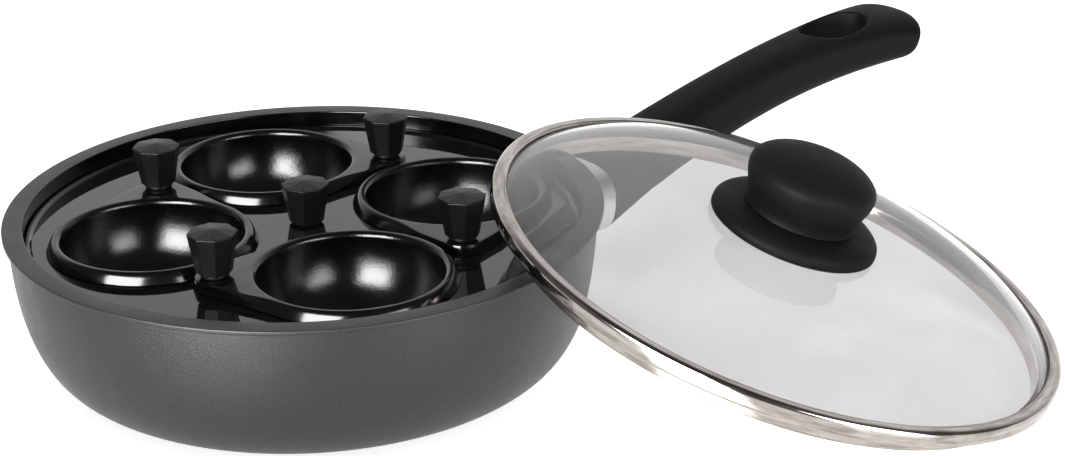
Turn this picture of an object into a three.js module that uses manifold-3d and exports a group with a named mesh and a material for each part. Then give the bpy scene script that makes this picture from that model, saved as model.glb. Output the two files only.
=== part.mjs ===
// Egg pan: a pan with a poaching plate, four lift-out cups and a glass lid leaning on its rim.
// Millimetres, +Z up, the pan's base centred on the origin, +X to the viewer's right.
import * as THREE from 'three';
import { mergeVertices } from 'three/addons/utils/BufferGeometryUtils.js';
import Module from 'manifold-3d';

const wasm = await Module();
wasm.setup();

// Clearances between neighbours
const SEAT_GAP = 0.25;
const SLIDE_GAP = 0.5;

// Egg cups
const CUP_OPENING_RADIUS = 31.5;
const CUP_FLANGE_WIDTH = 5.2;
const CUP_FLANGE_RISE = 4.3;
const CUP_FLANGE_BEND = 3;
const CUP_MOUTH_ROUND = 2;
const CUP_TAB_RISE = 4;
const CUP_DEPTH = 26;
const CUP_BOTTOM_RADIUS = 14;
const CUP_SHEET = 1;
const CUP_SPACING = 4.8;
const CUP_BEARING = 20.7;
const CUP_NAMES = ['right', 'back', 'left', 'front'];

// Eight-sided knobs and what fixes them
const KNOB_SIDES = 8;
const KNOB_FOOT_RADIUS = 5.8;
const KNOB_TOP_RADIUS = 8.5;
const KNOB_FLARE_HEIGHT = 13.5;
const KNOB_EDGE = 0.6;
const KNOB_PEAK = 1.2;
const KNOB_OUTSET = 6.4;
const PAD_GAP = 1;
const WASHER_RADIUS = 4.8;
const WASHER_THICKNESS = 0.5;
const SPACER_THICKNESS = 1.5;
const SCREW_RADIUS = 1.5;
const SCREW_HEAD_RADIUS = 2.9;
const SCREW_HEAD_HEIGHT = 0.85;
const SCREW_GRIP = 8;

// Poaching plate
const PLATE_SHEET = 1.4;
const PLATE_MARGIN = 6.3;
const PLATE_EDGE_WIDTH = 1.3;
const PLATE_EDGE_RISE = 0.9;

// Pan
const PAN_HEIGHT = 53.7;
const PLATE_DEPTH = 6.6;
const RIM_WIDTH = 7.2;
const RIM_LIP = 1.6;
const RIM_EDGE = 0.5;
const RIM_OVERHANG = 2;
const WALL = 3;
const FLOOR = 4;
const WALL_SPREAD = 21;
const WALL_FULLNESS = 2.2;
const LEDGE_WIDTH = 2.2;
const LEDGE_HEIGHT = 2;
const LEDGE_RAMP = 3;

// Handle, guard and bracket
const HANDLE_BEARING = 36;
const GUARD_LENGTH = 22;
const GUARD_SHEET = 1.2;
const HANDLE_ROOT_HEIGHT = 28.4;
const HANDLE_LENGTH = 162;
const HANDLE_RISE = 36.2;
const HANDLE_CLIMB = 22.4;
const HANDLE_CREST = 36.7;
const ROOT_HALF_WIDTH = 18.5;
const ROOT_HALF_HEIGHT = 12.4;
const GRIP_HALF_WIDTH = 11.8;
const GRIP_HALF_HEIGHT = 11;
const END_HALF_WIDTH = 22.5;
const END_HALF_HEIGHT = 9.5;
const END_ROUND = 9;
const END_BLUNTNESS = 0.25;
const END_RAKE = 24;
const END_RAKE_LENGTH = 30;
const SECTION_FULLNESS = 2.6;
const ROOT_BLEND = 0.15;
const HOLE_LENGTH = 30.5;
const HOLE_WIDTH = 21.5;
const HOLE_FROM_END = 18.5;
const HOLE_CUT = 40;
const TONGUE_WIDTH = 13;
const TONGUE_HEIGHT = 7;
const TONGUE_REACH = 22;
const WELD_PLATE_WIDTH = 26;
const WELD_PLATE_HEIGHT = 15;
const WELD_PLATE_DEPTH = 5;
const HANDLE_SCREW_RADIUS = 2;
const HANDLE_SCREW_HEAD_RADIUS = 3.8;
const HANDLE_SCREW_HEAD_HEIGHT = 2.4;
const HANDLE_SCREW_BITE = 3;
const HANDLE_SCREW_FLOOR = 1.8;
const HANDLE_SCREW_FROM_END = 14;
const HANDLE_WASHER_THICKNESS = 0.8;

// Lid
const LID_SET_IN = 1.9;
const LID_SKIRT_CLEARANCE = 2.2;
const BAND_SHEET = 0.7;
const BAND_CHANNEL = 5.8;
const BAND_DROP = 12;
const BAND_LIP = 3.7;
const BAND_ROUND = 1.1;
const GLASS = 3;
const GLASS_RISE = 13.6;
const DOME_FULLNESS = 5.5;
const GLASS_HOLE_RADIUS = 4;
const LID_OVERLAP = 36.9;
const LID_BEARING = -8.3;
const LEAN_BEARING = -11.1;
const LEAST_LEAN = 2;
const MOST_LEAN = 45;
const LEAN_TRIES = 40;
const RIM_SAMPLES = 720;

// Lid knob and what fixes it
const SKIRT_RADIUS = 30;
const SKIRT_EDGE = 1.6;
const SKIRT_RISE = 6.5;
const SKIRT_WALL = 3;
const NECK_RADIUS = 20;
const WAIST_RADIUS = 19.4;
const WAIST_HEIGHT = 4;
const BULB_RADIUS = 22.8;
const BULB_EQUATOR = 13;
const BULB_HEIGHT = 22;
const GASKET_RADIUS = 10;
const GASKET_THICKNESS = 0.8;
const INSERT_RADIUS = 4;
const INSERT_LENGTH = 12;
const LID_SCREW_RADIUS = 2;
const LID_SCREW_HEAD_RADIUS = 4.6;
const LID_SCREW_HEAD_HEIGHT = 2.6;
const LID_WASHER_RADIUS = 9;
const LID_WASHER_THICKNESS = 1;

// Facets on round pieces
const LARGE_ROUND = 48;
const MEDIUM_ROUND = 28;
const SMALL_ROUND = 12;
const GRIP_ROUND = 20;

// Steps along curved profiles
const WALL_STEPS = 8;
const PROFILE_STEPS = 5;
const BEND_STEPS = 2;
const GRIP_STEPS = 9;
const END_STEPS = 4;
const END_SWEEP = 82;

// Sizes that follow from the ones above
const cupFlangeRadius = CUP_OPENING_RADIUS + CUP_FLANGE_WIDTH;
const cupPitch = 360 / CUP_NAMES.length;
const cupCircle = (cupFlangeRadius + CUP_SPACING / 2) / Math.sin(rad(cupPitch / 2));
const knobCircle = cupCircle + KNOB_OUTSET;
const knobReach = Math.sqrt(
  cupCircle ** 2 + knobCircle ** 2 - 2 * cupCircle * knobCircle * Math.cos(rad(cupPitch / 2)),
);
const padRadius = knobReach - cupFlangeRadius - PAD_GAP;
const knobTurn = 2 * Math.asin((cupFlangeRadius + CUP_SPACING / 2) / knobReach) - Math.PI / KNOB_SIDES;
const plateRadius = cupCircle + cupFlangeRadius + PLATE_MARGIN;
const boreRadius = plateRadius + SLIDE_GAP;
const rimRadius = boreRadius + RIM_WIDTH;
const wallRadius = rimRadius - RIM_OVERHANG;
const baseRadius = wallRadius - WALL_SPREAD;
const cupHoleRadius = CUP_OPENING_RADIUS + CUP_SHEET + SLIDE_GAP;
const plateTop = PAN_HEIGHT - PLATE_DEPTH;
const ledgeTop = plateTop - PLATE_SHEET - SEAT_GAP;
const guardStart = wallRadius - WALL_SPREAD / 2;
const guardEnd = wallRadius + GUARD_LENGTH;
const handleStart = guardEnd + SEAT_GAP;
const handleEnd = handleStart + HANDLE_LENGTH;
const tongueEnd = handleStart + TONGUE_REACH;
const tongueTop = HANDLE_ROOT_HEIGHT + TONGUE_HEIGHT / 2;
const tongueBottom = HANDLE_ROOT_HEIGHT - TONGUE_HEIGHT / 2;
const screwStation = tongueEnd - HANDLE_SCREW_FROM_END;
const screwSeat = tongueBottom - HANDLE_SCREW_FLOOR;
const bandRadius = rimRadius - LID_SET_IN;
const skirtRadius = boreRadius - LID_SKIRT_CLEARANCE;
const glassTop = -BAND_SHEET - SEAT_GAP;
const glassRadius = bandRadius - BAND_SHEET - SEAT_GAP;
const domeRadius = bandRadius - BAND_LIP - SEAT_GAP;
const skirtBottom = domeHeight(SKIRT_RADIUS - SKIRT_WALL) + SEAT_GAP;
const skirtTop = skirtBottom + SKIRT_RISE;
const gasketBottom = domeHeight(GLASS_HOLE_RADIUS) + SEAT_GAP;
const gasketTop = gasketBottom + GASKET_THICKNESS;
const skirtFloor = gasketTop + SEAT_GAP;

// Finishes
const finishes = {
  coating: new THREE.MeshStandardMaterial({ color: 0x4a4a4c, roughness: 0.5, metalness: 0.35 }),
  nonstick: new THREE.MeshStandardMaterial({ color: 0x17171a, roughness: 0.15, metalness: 0.1 }),
  plastic: new THREE.MeshStandardMaterial({ color: 0x242425, roughness: 0.65, metalness: 0 }),
  steel: new THREE.MeshStandardMaterial({ color: 0xb9b3aa, roughness: 0.3, metalness: 1 }),
  guard: new THREE.MeshStandardMaterial({ color: 0xb0b0b2, roughness: 0.35, metalness: 0.9 }),
  brass: new THREE.MeshStandardMaterial({ color: 0xb08d4a, roughness: 0.4, metalness: 1 }),
  silicone: new THREE.MeshStandardMaterial({ color: 0xd8d8d4, roughness: 0.6, metalness: 0 }),
  glass: new THREE.MeshStandardMaterial({
    color: 0xf0f2f2, roughness: 0.05, metalness: 0, transparent: true, opacity: 0.35,
  }),
};

function rad(degrees) {
  return (degrees * Math.PI) / 180;
}

function point(x, y) {
  return new THREE.Vector2(x, y);
}

// Points of an ellipse's arc, from one angle in degrees to another
function arc(x, y, radiusX, radiusY, from, to, steps) {
  const points = [];
  for (let i = 0; i <= steps; i += 1) {
    const angle = rad(from + ((to - from) * i) / steps);
    points.push(point(x + radiusX * Math.cos(angle), y + radiusY * Math.sin(angle)));
  }
  return points;
}

// Closed solid from a geometry, with shared vertices joined and flat slivers dropped
function toSolid(geometry) {
  const bare = new THREE.BufferGeometry();
  bare.setAttribute('position', geometry.getAttribute('position'));
  bare.setIndex(geometry.getIndex());
  const joined = mergeVertices(bare, 1e-4);
  const corners = joined.getIndex().array;
  const triangles = [];
  for (let i = 0; i < corners.length; i += 3) {
    const [a, b, c] = corners.slice(i, i + 3);
    if (a !== b && b !== c && c !== a) {
      triangles.push(a, b, c);
    }
  }
  return new wasm.Manifold(new wasm.Mesh({
    numProp: 3,
    vertProperties: new Float32Array(joined.getAttribute('position').array),
    triVerts: new Uint32Array(triangles),
  }));
}

function toMesh(name, solid, finish) {
  const result = solid.getMesh();
  const geometry = new THREE.BufferGeometry();
  geometry.setAttribute('position', new THREE.BufferAttribute(result.vertProperties, 3));
  geometry.setIndex(new THREE.BufferAttribute(result.triVerts, 1));
  geometry.computeVertexNormals();
  const mesh = new THREE.Mesh(geometry, finish);
  mesh.name = name;
  return mesh;
}

// Solid of revolution about Z; the profile runs up the outside
function turned(profile, facets) {
  const geometry = new THREE.LatheGeometry(profile, facets);
  geometry.rotateX(Math.PI / 2);
  return toSolid(geometry);
}

function cylinder(radius, bottom, top, facets) {
  const profile = [point(0, bottom), point(radius, bottom), point(radius, top), point(0, top)];
  return turned(profile, facets);
}

function ring(inner, outer, bottom, top, facets) {
  const profile = [
    point(inner, bottom), point(outer, bottom), point(outer, top), point(inner, top), point(inner, bottom),
  ];
  return turned(profile, facets);
}

function box(sizeX, sizeY, sizeZ, x, y, z) {
  return toSolid(new THREE.BoxGeometry(sizeX, sizeY, sizeZ).translate(x, y, z));
}

// Headed pin: the head below z = 0, the shank above it
function headedPin(headRadius, headHeight, shankRadius, shankLength) {
  return turned([
    point(0, -headHeight), point(headRadius, -headHeight), point(headRadius, 0),
    point(shankRadius, 0), point(shankRadius, shankLength), point(0, shankLength),
  ], SMALL_ROUND);
}

// Rounded wall line from the base edge to the wall's top
function wallLine(base, wall, bottom, top, steps) {
  const points = [];
  for (let i = 0; i <= steps; i += 1) {
    const angle = rad(90 - (90 * i) / steps);
    const out = Math.cos(angle) ** (2 / WALL_FULLNESS);
    const down = Math.sin(angle) ** (2 / WALL_FULLNESS);
    points.push(point(base + (wall - base) * out, top - (top - bottom) * down));
  }
  return points;
}

function panBody() {
  const lipBottom = PAN_HEIGHT - RIM_LIP;
  const rampBottom = ledgeTop - LEDGE_HEIGHT - LEDGE_RAMP;
  const inside = wallLine(baseRadius - WALL, wallRadius - WALL, FLOOR, rampBottom, PROFILE_STEPS).reverse();
  return turned([
    point(0, 0),
    ...wallLine(baseRadius, wallRadius, 0, lipBottom, WALL_STEPS),
    point(rimRadius, lipBottom),
    point(rimRadius, PAN_HEIGHT - RIM_EDGE),
    point(rimRadius - RIM_EDGE, PAN_HEIGHT),
    point(boreRadius + RIM_EDGE, PAN_HEIGHT),
    point(boreRadius, PAN_HEIGHT - RIM_EDGE),
    point(boreRadius, ledgeTop),
    point(boreRadius - LEDGE_WIDTH, ledgeTop),
    point(boreRadius - LEDGE_WIDTH, ledgeTop - LEDGE_HEIGHT),
    ...inside,
    point(0, FLOOR),
  ], LARGE_ROUND);
}

// The pan's outside grown by the seat gap and turned into the handle's frame, for cutting what bears on it
function panShadow() {
  const lipBottom = PAN_HEIGHT - RIM_LIP;
  const wall = wallLine(baseRadius + SEAT_GAP, wallRadius + SEAT_GAP, 0, lipBottom, WALL_STEPS);
  const shadow = turned([point(0, 0), ...wall, point(0, lipBottom)], LARGE_ROUND);
  return shadow.rotate([0, 0, -HANDLE_BEARING]);
}

function platePosition(radius, bearing) {
  return [radius * Math.cos(rad(bearing)), radius * Math.sin(rad(bearing))];
}

function poachingPlate() {
  const bottom = plateTop - PLATE_SHEET;
  const raised = plateTop + PLATE_EDGE_RISE;
  let plate = turned([
    point(0, bottom), point(plateRadius, bottom), point(plateRadius, raised),
    point(plateRadius - PLATE_EDGE_WIDTH, raised),
    point(plateRadius - PLATE_EDGE_WIDTH - PLATE_EDGE_RISE, plateTop),
    point(0, plateTop),
  ], LARGE_ROUND);
  const cupHole = cylinder(cupHoleRadius, bottom - PLATE_SHEET, raised, MEDIUM_ROUND);
  CUP_NAMES.forEach((name, index) => {
    const [x, y] = platePosition(cupCircle, CUP_BEARING + index * cupPitch);
    plate = plate.subtract(cupHole.translate([x, y, 0]));
  });
  const screwHole = cylinder(SCREW_RADIUS + SEAT_GAP, bottom - PLATE_SHEET, raised, SMALL_ROUND);
  return plate.subtract(screwHole);
}

// Cup with its rim down-turned onto the plate; z = 0 is the plate's top
function cupBowl() {
  const under = CUP_FLANGE_RISE - CUP_SHEET;
  const bendRadius = cupFlangeRadius - CUP_FLANGE_BEND;
  const bendHeight = CUP_FLANGE_RISE - CUP_FLANGE_BEND;
  const inner = CUP_FLANGE_BEND - CUP_SHEET;
  const outerBend = arc(bendRadius, bendHeight, CUP_FLANGE_BEND, CUP_FLANGE_BEND, 0, 90, BEND_STEPS);
  const innerBend = arc(bendRadius, bendHeight, inner, inner, 90, 0, BEND_STEPS);
  const swell = CUP_OPENING_RADIUS - CUP_BOTTOM_RADIUS;
  const mouthRadius = CUP_OPENING_RADIUS + CUP_MOUTH_ROUND;
  const mouthHeight = CUP_FLANGE_RISE - CUP_MOUTH_ROUND;
  const mouth = arc(mouthRadius, mouthHeight, CUP_MOUTH_ROUND, CUP_MOUTH_ROUND, 90, 180, BEND_STEPS);
  const drop = CUP_DEPTH - CUP_MOUTH_ROUND;
  const inside = arc(CUP_BOTTOM_RADIUS, mouthHeight, swell, drop, 0, -90, PROFILE_STEPS).slice(1);
  const outside = arc(CUP_BOTTOM_RADIUS, under, swell + CUP_SHEET, CUP_DEPTH, -90, 0, PROFILE_STEPS);
  return turned([
    point(0, under - CUP_DEPTH),
    ...outside,
    ...innerBend,
    point(cupFlangeRadius - CUP_SHEET, SEAT_GAP),
    point(cupFlangeRadius, SEAT_GAP),
    ...outerBend,
    ...mouth,
    ...inside,
    point(0, CUP_FLANGE_RISE - CUP_DEPTH),
  ], MEDIUM_ROUND);
}

// Teardrop tab along +X: tangents from the rim's circle to a round pad
function cupTab() {
  const inner = cupFlangeRadius - CUP_FLANGE_WIDTH / 2;
  const tangent = Math.acos((cupFlangeRadius - padRadius) / knobReach);
  const tab = new THREE.Shape();
  tab.moveTo(inner * Math.cos(tangent), -inner * Math.sin(tangent));
  tab.lineTo(cupFlangeRadius * Math.cos(tangent), -cupFlangeRadius * Math.sin(tangent));
  tab.absarc(knobReach, 0, padRadius, -tangent, tangent, false);
  tab.lineTo(cupFlangeRadius * Math.cos(tangent), cupFlangeRadius * Math.sin(tangent));
  tab.lineTo(inner * Math.cos(tangent), inner * Math.sin(tangent));
  tab.absarc(0, 0, inner, tangent, -tangent, true);
  const geometry = new THREE.ExtrudeGeometry(tab, {
    depth: CUP_SHEET, bevelEnabled: false, curveSegments: SMALL_ROUND,
  });
  geometry.translate(0, 0, CUP_TAB_RISE - CUP_SHEET);
  return toSolid(geometry);
}

function eggCup() {
  const hole = cylinder(SCREW_RADIUS + SEAT_GAP, 0, CUP_TAB_RISE + CUP_SHEET, SMALL_ROUND);
  return cupBowl().add(cupTab()).subtract(hole.translate([knobReach, 0, 0]));
}

// Eight-sided knob standing on z = 0, bored for its screw
function sidedKnob() {
  const shoulder = KNOB_FLARE_HEIGHT + KNOB_EDGE;
  const knob = turned([
    point(0, 0), point(KNOB_FOOT_RADIUS, 0), point(KNOB_TOP_RADIUS, KNOB_FLARE_HEIGHT),
    point(KNOB_TOP_RADIUS, shoulder), point(0, shoulder + KNOB_PEAK),
  ], KNOB_SIDES);
  return knob.subtract(cylinder(SCREW_RADIUS + SEAT_GAP, -KNOB_EDGE, SCREW_GRIP + SEAT_GAP, SMALL_ROUND));
}

// Knob, washer and screw on a sheet whose top is z = 0
function addKnob(group, label, sheet, washerThickness) {
  const washerBottom = SEAT_GAP / 2;
  const knobBottom = washerBottom + washerThickness + SEAT_GAP / 2;
  const washer = ring(
    SCREW_RADIUS + SEAT_GAP, WASHER_RADIUS, washerBottom, washerBottom + washerThickness, SMALL_ROUND,
  );
  const headTop = -sheet - SEAT_GAP / 2;
  const shank = knobBottom + SCREW_GRIP - headTop;
  const screw = headedPin(SCREW_HEAD_RADIUS, SCREW_HEAD_HEIGHT, SCREW_RADIUS, shank);
  group.add(toMesh(label, sidedKnob().translate([0, 0, knobBottom]), finishes.plastic));
  group.add(toMesh(`${label}_washer`, washer, finishes.steel));
  group.add(toMesh(`${label}_screw`, screw.translate([0, 0, headTop]), finishes.steel));
}

// Plate with its own knob, and the four cups that hang in it
function poacher() {
  const group = new THREE.Group();
  group.add(toMesh('poaching_plate', poachingPlate(), finishes.nonstick));
  const centre = new THREE.Group();
  centre.position.z = plateTop;
  addKnob(centre, 'plate_knob', PLATE_SHEET, WASHER_THICKNESS);
  group.add(centre);
  CUP_NAMES.forEach((name, index) => {
    const bearing = CUP_BEARING + index * cupPitch;
    const [x, y] = platePosition(cupCircle, bearing);
    const [knobX, knobY] = platePosition(knobCircle, bearing - cupPitch / 2);
    const cup = new THREE.Group();
    cup.position.set(x, y, plateTop);
    cup.rotation.z = Math.atan2(knobY - y, knobX - x);
    cup.add(toMesh(`egg_cup_${name}`, eggCup(), finishes.nonstick));
    // Turned so that a flat side of the knob faces the next cup, which lifts out past it
    const pad = new THREE.Group();
    pad.position.set(knobReach, 0, CUP_TAB_RISE);
    pad.rotation.z = knobTurn;
    addKnob(pad, `cup_knob_${name}`, CUP_SHEET, SPACER_THICKNESS);
    cup.add(pad);
    group.add(cup);
  });
  return group;
}

// Closed skin through rings of points, capped at both ends
function loft(rings) {
  const count = rings[0].length;
  const positions = [];
  const index = [];
  rings.flat().forEach((p) => positions.push(p.x, p.y, p.z));
  for (let i = 0; i + 1 < rings.length; i += 1) {
    for (let j = 0; j < count; j += 1) {
      const a = i * count + j;
      const b = i * count + ((j + 1) % count);
      index.push(a, b, b + count, a, b + count, a + count);
    }
  }
  const last = (rings.length - 1) * count;
  for (let j = 1; j + 1 < count; j += 1) {
    index.push(0, j + 1, j);
    index.push(last, last + j, last + j + 1);
  }
  const geometry = new THREE.BufferGeometry();
  geometry.setAttribute('position', new THREE.Float32BufferAttribute(positions, 3));
  geometry.setIndex(index);
  return toSolid(geometry);
}

// Rounded oblong section square to the spine, which lies in the XZ plane
function section(at, slope, halfWidth, halfHeight, facets) {
  const points = [];
  for (let i = 0; i < facets; i += 1) {
    const angle = (2 * Math.PI * i) / facets;
    const side = Math.sign(Math.cos(angle)) * Math.abs(Math.cos(angle)) ** (2 / SECTION_FULLNESS);
    const up = Math.sign(Math.sin(angle)) * Math.abs(Math.sin(angle)) ** (2 / SECTION_FULLNESS);
    points.push(new THREE.Vector3(
      at.x - halfHeight * up * Math.sin(slope),
      halfWidth * side,
      at.y + halfHeight * up * Math.cos(slope),
    ));
  }
  return points;
}

function handleSpine() {
  return new THREE.CubicBezierCurve(
    point(handleStart, HANDLE_ROOT_HEIGHT),
    point(handleStart + HANDLE_LENGTH / 3, HANDLE_ROOT_HEIGHT + HANDLE_CLIMB),
    point(handleStart + (HANDLE_LENGTH * 2) / 3, HANDLE_ROOT_HEIGHT + HANDLE_CREST),
    point(handleEnd, HANDLE_ROOT_HEIGHT + HANDLE_RISE),
  );
}

// The handle before it is cut: its end rounded in plan and raked, so that the top overhangs
function handleBlank() {
  const spine = handleSpine();
  const half = new THREE.CubicBezierCurve(
    point(ROOT_HALF_WIDTH, ROOT_HALF_HEIGHT),
    point(GRIP_HALF_WIDTH, GRIP_HALF_HEIGHT),
    point(GRIP_HALF_WIDTH, GRIP_HALF_HEIGHT),
    point(END_HALF_WIDTH, END_HALF_HEIGHT),
  );
  const stations = [];
  const straight = 1 - END_ROUND / HANDLE_LENGTH;
  for (let i = 0; i <= GRIP_STEPS; i += 1) {
    stations.push([(straight * i) / GRIP_STEPS, 1]);
  }
  for (let i = 1; i <= END_STEPS; i += 1) {
    const angle = rad((END_SWEEP * i) / END_STEPS);
    const along = Math.sin(angle) ** (2 / SECTION_FULLNESS);
    stations.push([straight + (1 - straight) * along, Math.cos(angle) ** (2 / SECTION_FULLNESS)]);
  }
  return loft(stations.map(([t, shrink]) => {
    const direction = spine.getTangent(t);
    const rake = rad(END_RAKE) * Math.max(0, 1 - ((1 - t) * HANDLE_LENGTH) / END_RAKE_LENGTH);
    const slope = Math.atan2(direction.y, direction.x) * Math.min(1, t / ROOT_BLEND) - rake;
    const size = half.getPoint(t);
    const height = size.y * shrink ** END_BLUNTNESS;
    return section(spine.getPoint(t), slope, size.x * shrink, height, GRIP_ROUND);
  }));
}

function handleGrip() {
  const socketStart = handleStart - SLIDE_GAP;
  const socketLength = tongueEnd + SEAT_GAP - socketStart;
  const socket = box(
    socketLength, TONGUE_WIDTH + 2 * SEAT_GAP, TONGUE_HEIGHT + 2 * SEAT_GAP,
    socketStart + socketLength / 2, 0, HANDLE_ROOT_HEIGHT,
  );
  const below = HANDLE_ROOT_HEIGHT - ROOT_HALF_HEIGHT;
  const shaft = cylinder(
    HANDLE_SCREW_RADIUS + SEAT_GAP, screwSeat, tongueTop + HANDLE_SCREW_BITE + SEAT_GAP, SMALL_ROUND,
  );
  const counterbore = cylinder(HANDLE_SCREW_HEAD_RADIUS + SLIDE_GAP, below, screwSeat, SMALL_ROUND);
  const place = [screwStation, 0, 0];
  return handleBlank()
    .subtract(socket)
    .subtract(shaft.translate(place))
    .subtract(counterbore.translate(place))
    .subtract(hangingHole());
}

// Oval hole near the handle's end, square to its top
function hangingHole() {
  const shape = new THREE.Shape();
  shape.absellipse(0, 0, HOLE_LENGTH / 2, HOLE_WIDTH / 2, 0, 2 * Math.PI, false, 0);
  const geometry = new THREE.ExtrudeGeometry(shape, {
    depth: HOLE_CUT, bevelEnabled: false, curveSegments: MEDIUM_ROUND,
  });
  geometry.translate(0, 0, -HOLE_CUT / 2);
  const spine = handleSpine();
  const t = 1 - (HOLE_FROM_END + HOLE_LENGTH / 2) / HANDLE_LENGTH;
  const direction = spine.getTangent(t);
  const at = spine.getPoint(t);
  geometry.rotateY(-Math.atan2(direction.y, direction.x));
  geometry.translate(at.x, 0, at.y);
  return toSolid(geometry);
}

function guardBlank(inset) {
  const at = (x) => point(x, HANDLE_ROOT_HEIGHT);
  return loft([
    section(at(guardStart - inset), 0, ROOT_HALF_WIDTH - inset, ROOT_HALF_HEIGHT - inset, GRIP_ROUND),
    section(at(guardEnd + inset), 0, ROOT_HALF_WIDTH - inset, ROOT_HALF_HEIGHT - inset, GRIP_ROUND),
  ]);
}

function flameGuard(shadow) {
  return guardBlank(0).subtract(guardBlank(GUARD_SHEET)).subtract(shadow);
}

function handleBracket(shadow) {
  const plate = box(
    WALL_SPREAD / 2 + WELD_PLATE_DEPTH, WELD_PLATE_WIDTH, WELD_PLATE_HEIGHT,
    guardStart + (WALL_SPREAD / 2 + WELD_PLATE_DEPTH) / 2, 0, HANDLE_ROOT_HEIGHT,
  );
  const reach = tongueEnd - guardStart;
  const tongue = box(reach, TONGUE_WIDTH, TONGUE_HEIGHT, guardStart + reach / 2, 0, HANDLE_ROOT_HEIGHT);
  const hole = cylinder(
    HANDLE_SCREW_RADIUS + SEAT_GAP, tongueBottom - SLIDE_GAP, tongueTop + SLIDE_GAP, SMALL_ROUND,
  );
  return plate.add(tongue).subtract(shadow).subtract(hole.translate([screwStation, 0, 0]));
}

function handleAssembly() {
  const group = new THREE.Group();
  group.rotation.z = rad(HANDLE_BEARING);
  const shadow = panShadow();
  const washerTop = screwSeat - SEAT_GAP / 2;
  const headTop = washerTop - HANDLE_WASHER_THICKNESS - SEAT_GAP / 2;
  const shank = tongueTop + HANDLE_SCREW_BITE - headTop;
  const screw = headedPin(HANDLE_SCREW_HEAD_RADIUS, HANDLE_SCREW_HEAD_HEIGHT, HANDLE_SCREW_RADIUS, shank);
  const washer = ring(
    HANDLE_SCREW_RADIUS + SEAT_GAP, HANDLE_SCREW_HEAD_RADIUS + SEAT_GAP,
    washerTop - HANDLE_WASHER_THICKNESS, washerTop, SMALL_ROUND,
  );
  group.add(toMesh('handle_bracket', handleBracket(shadow), finishes.steel));
  group.add(toMesh('flame_guard', flameGuard(shadow), finishes.guard));
  group.add(toMesh('handle', handleGrip(), finishes.plastic));
  group.add(toMesh('handle_screw', screw.translate([screwStation, 0, headTop]), finishes.steel));
  group.add(toMesh('handle_screw_washer', washer.translate([screwStation, 0, 0]), finishes.steel));
  return group;
}

function lidBand() {
  const inner = skirtRadius - BAND_SHEET;
  return turned([
    point(inner, -BAND_DROP),
    point(skirtRadius, -BAND_DROP),
    point(skirtRadius, -BAND_CHANNEL),
    point(bandRadius, -BAND_CHANNEL),
    ...arc(bandRadius - BAND_ROUND, -BAND_ROUND, BAND_ROUND, BAND_ROUND, 0, 90, BEND_STEPS),
    point(bandRadius - BAND_LIP, 0),
    point(bandRadius - BAND_LIP, -BAND_SHEET),
    point(bandRadius - BAND_SHEET, -BAND_SHEET),
    point(bandRadius - BAND_SHEET, BAND_SHEET - BAND_CHANNEL),
    point(inner, BAND_SHEET - BAND_CHANNEL),
    point(inner, -BAND_DROP),
  ], LARGE_ROUND);
}

// Height of the glass's outer face at a radius
function domeHeight(radius) {
  return glassTop + GLASS_RISE * (1 - (radius / domeRadius) ** DOME_FULLNESS);
}

function lidGlass() {
  const outside = [];
  const inside = [];
  for (let i = 0; i <= PROFILE_STEPS; i += 1) {
    const inward = (i / PROFILE_STEPS) ** 2;
    const radius = domeRadius + (GLASS_HOLE_RADIUS - domeRadius) * inward;
    outside.push(point(radius, domeHeight(radius)));
    inside.unshift(point(radius, domeHeight(radius) - GLASS));
  }
  return turned([
    ...inside,
    point(glassRadius, glassTop - GLASS),
    point(glassRadius, glassTop),
    ...outside,
    inside[0],
  ], LARGE_ROUND);
}

function lidKnobSkirt() {
  const hole = LID_SCREW_RADIUS + SLIDE_GAP;
  const slope = arc(
    NECK_RADIUS, skirtBottom + SKIRT_EDGE, SKIRT_RADIUS - NECK_RADIUS, SKIRT_RISE - SKIRT_EDGE,
    0, 90, PROFILE_STEPS,
  );
  return turned([
    point(hole, skirtFloor),
    point(SKIRT_RADIUS - SKIRT_WALL, skirtFloor),
    point(SKIRT_RADIUS - SKIRT_WALL, skirtBottom),
    point(SKIRT_RADIUS, skirtBottom),
    ...slope,
    point(hole, skirtTop),
    point(hole, skirtFloor),
  ], MEDIUM_ROUND);
}

function lidKnobTop() {
  const bottom = skirtTop + SEAT_GAP;
  const waist = new THREE.QuadraticBezierCurve(
    point(NECK_RADIUS, bottom), point(WAIST_RADIUS, bottom + WAIST_HEIGHT),
    point(BULB_RADIUS, bottom + BULB_EQUATOR),
  );
  const cap = arc(0, bottom + BULB_EQUATOR, BULB_RADIUS, BULB_HEIGHT - BULB_EQUATOR, 0, 90, PROFILE_STEPS);
  const knob = turned([point(0, bottom), ...waist.getPoints(PROFILE_STEPS), ...cap.slice(1)], MEDIUM_ROUND);
  const pocket = cylinder(
    INSERT_RADIUS + SEAT_GAP, bottom - SEAT_GAP, bottom + INSERT_LENGTH + 2 * SEAT_GAP, SMALL_ROUND,
  );
  return knob.subtract(pocket);
}

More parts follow.
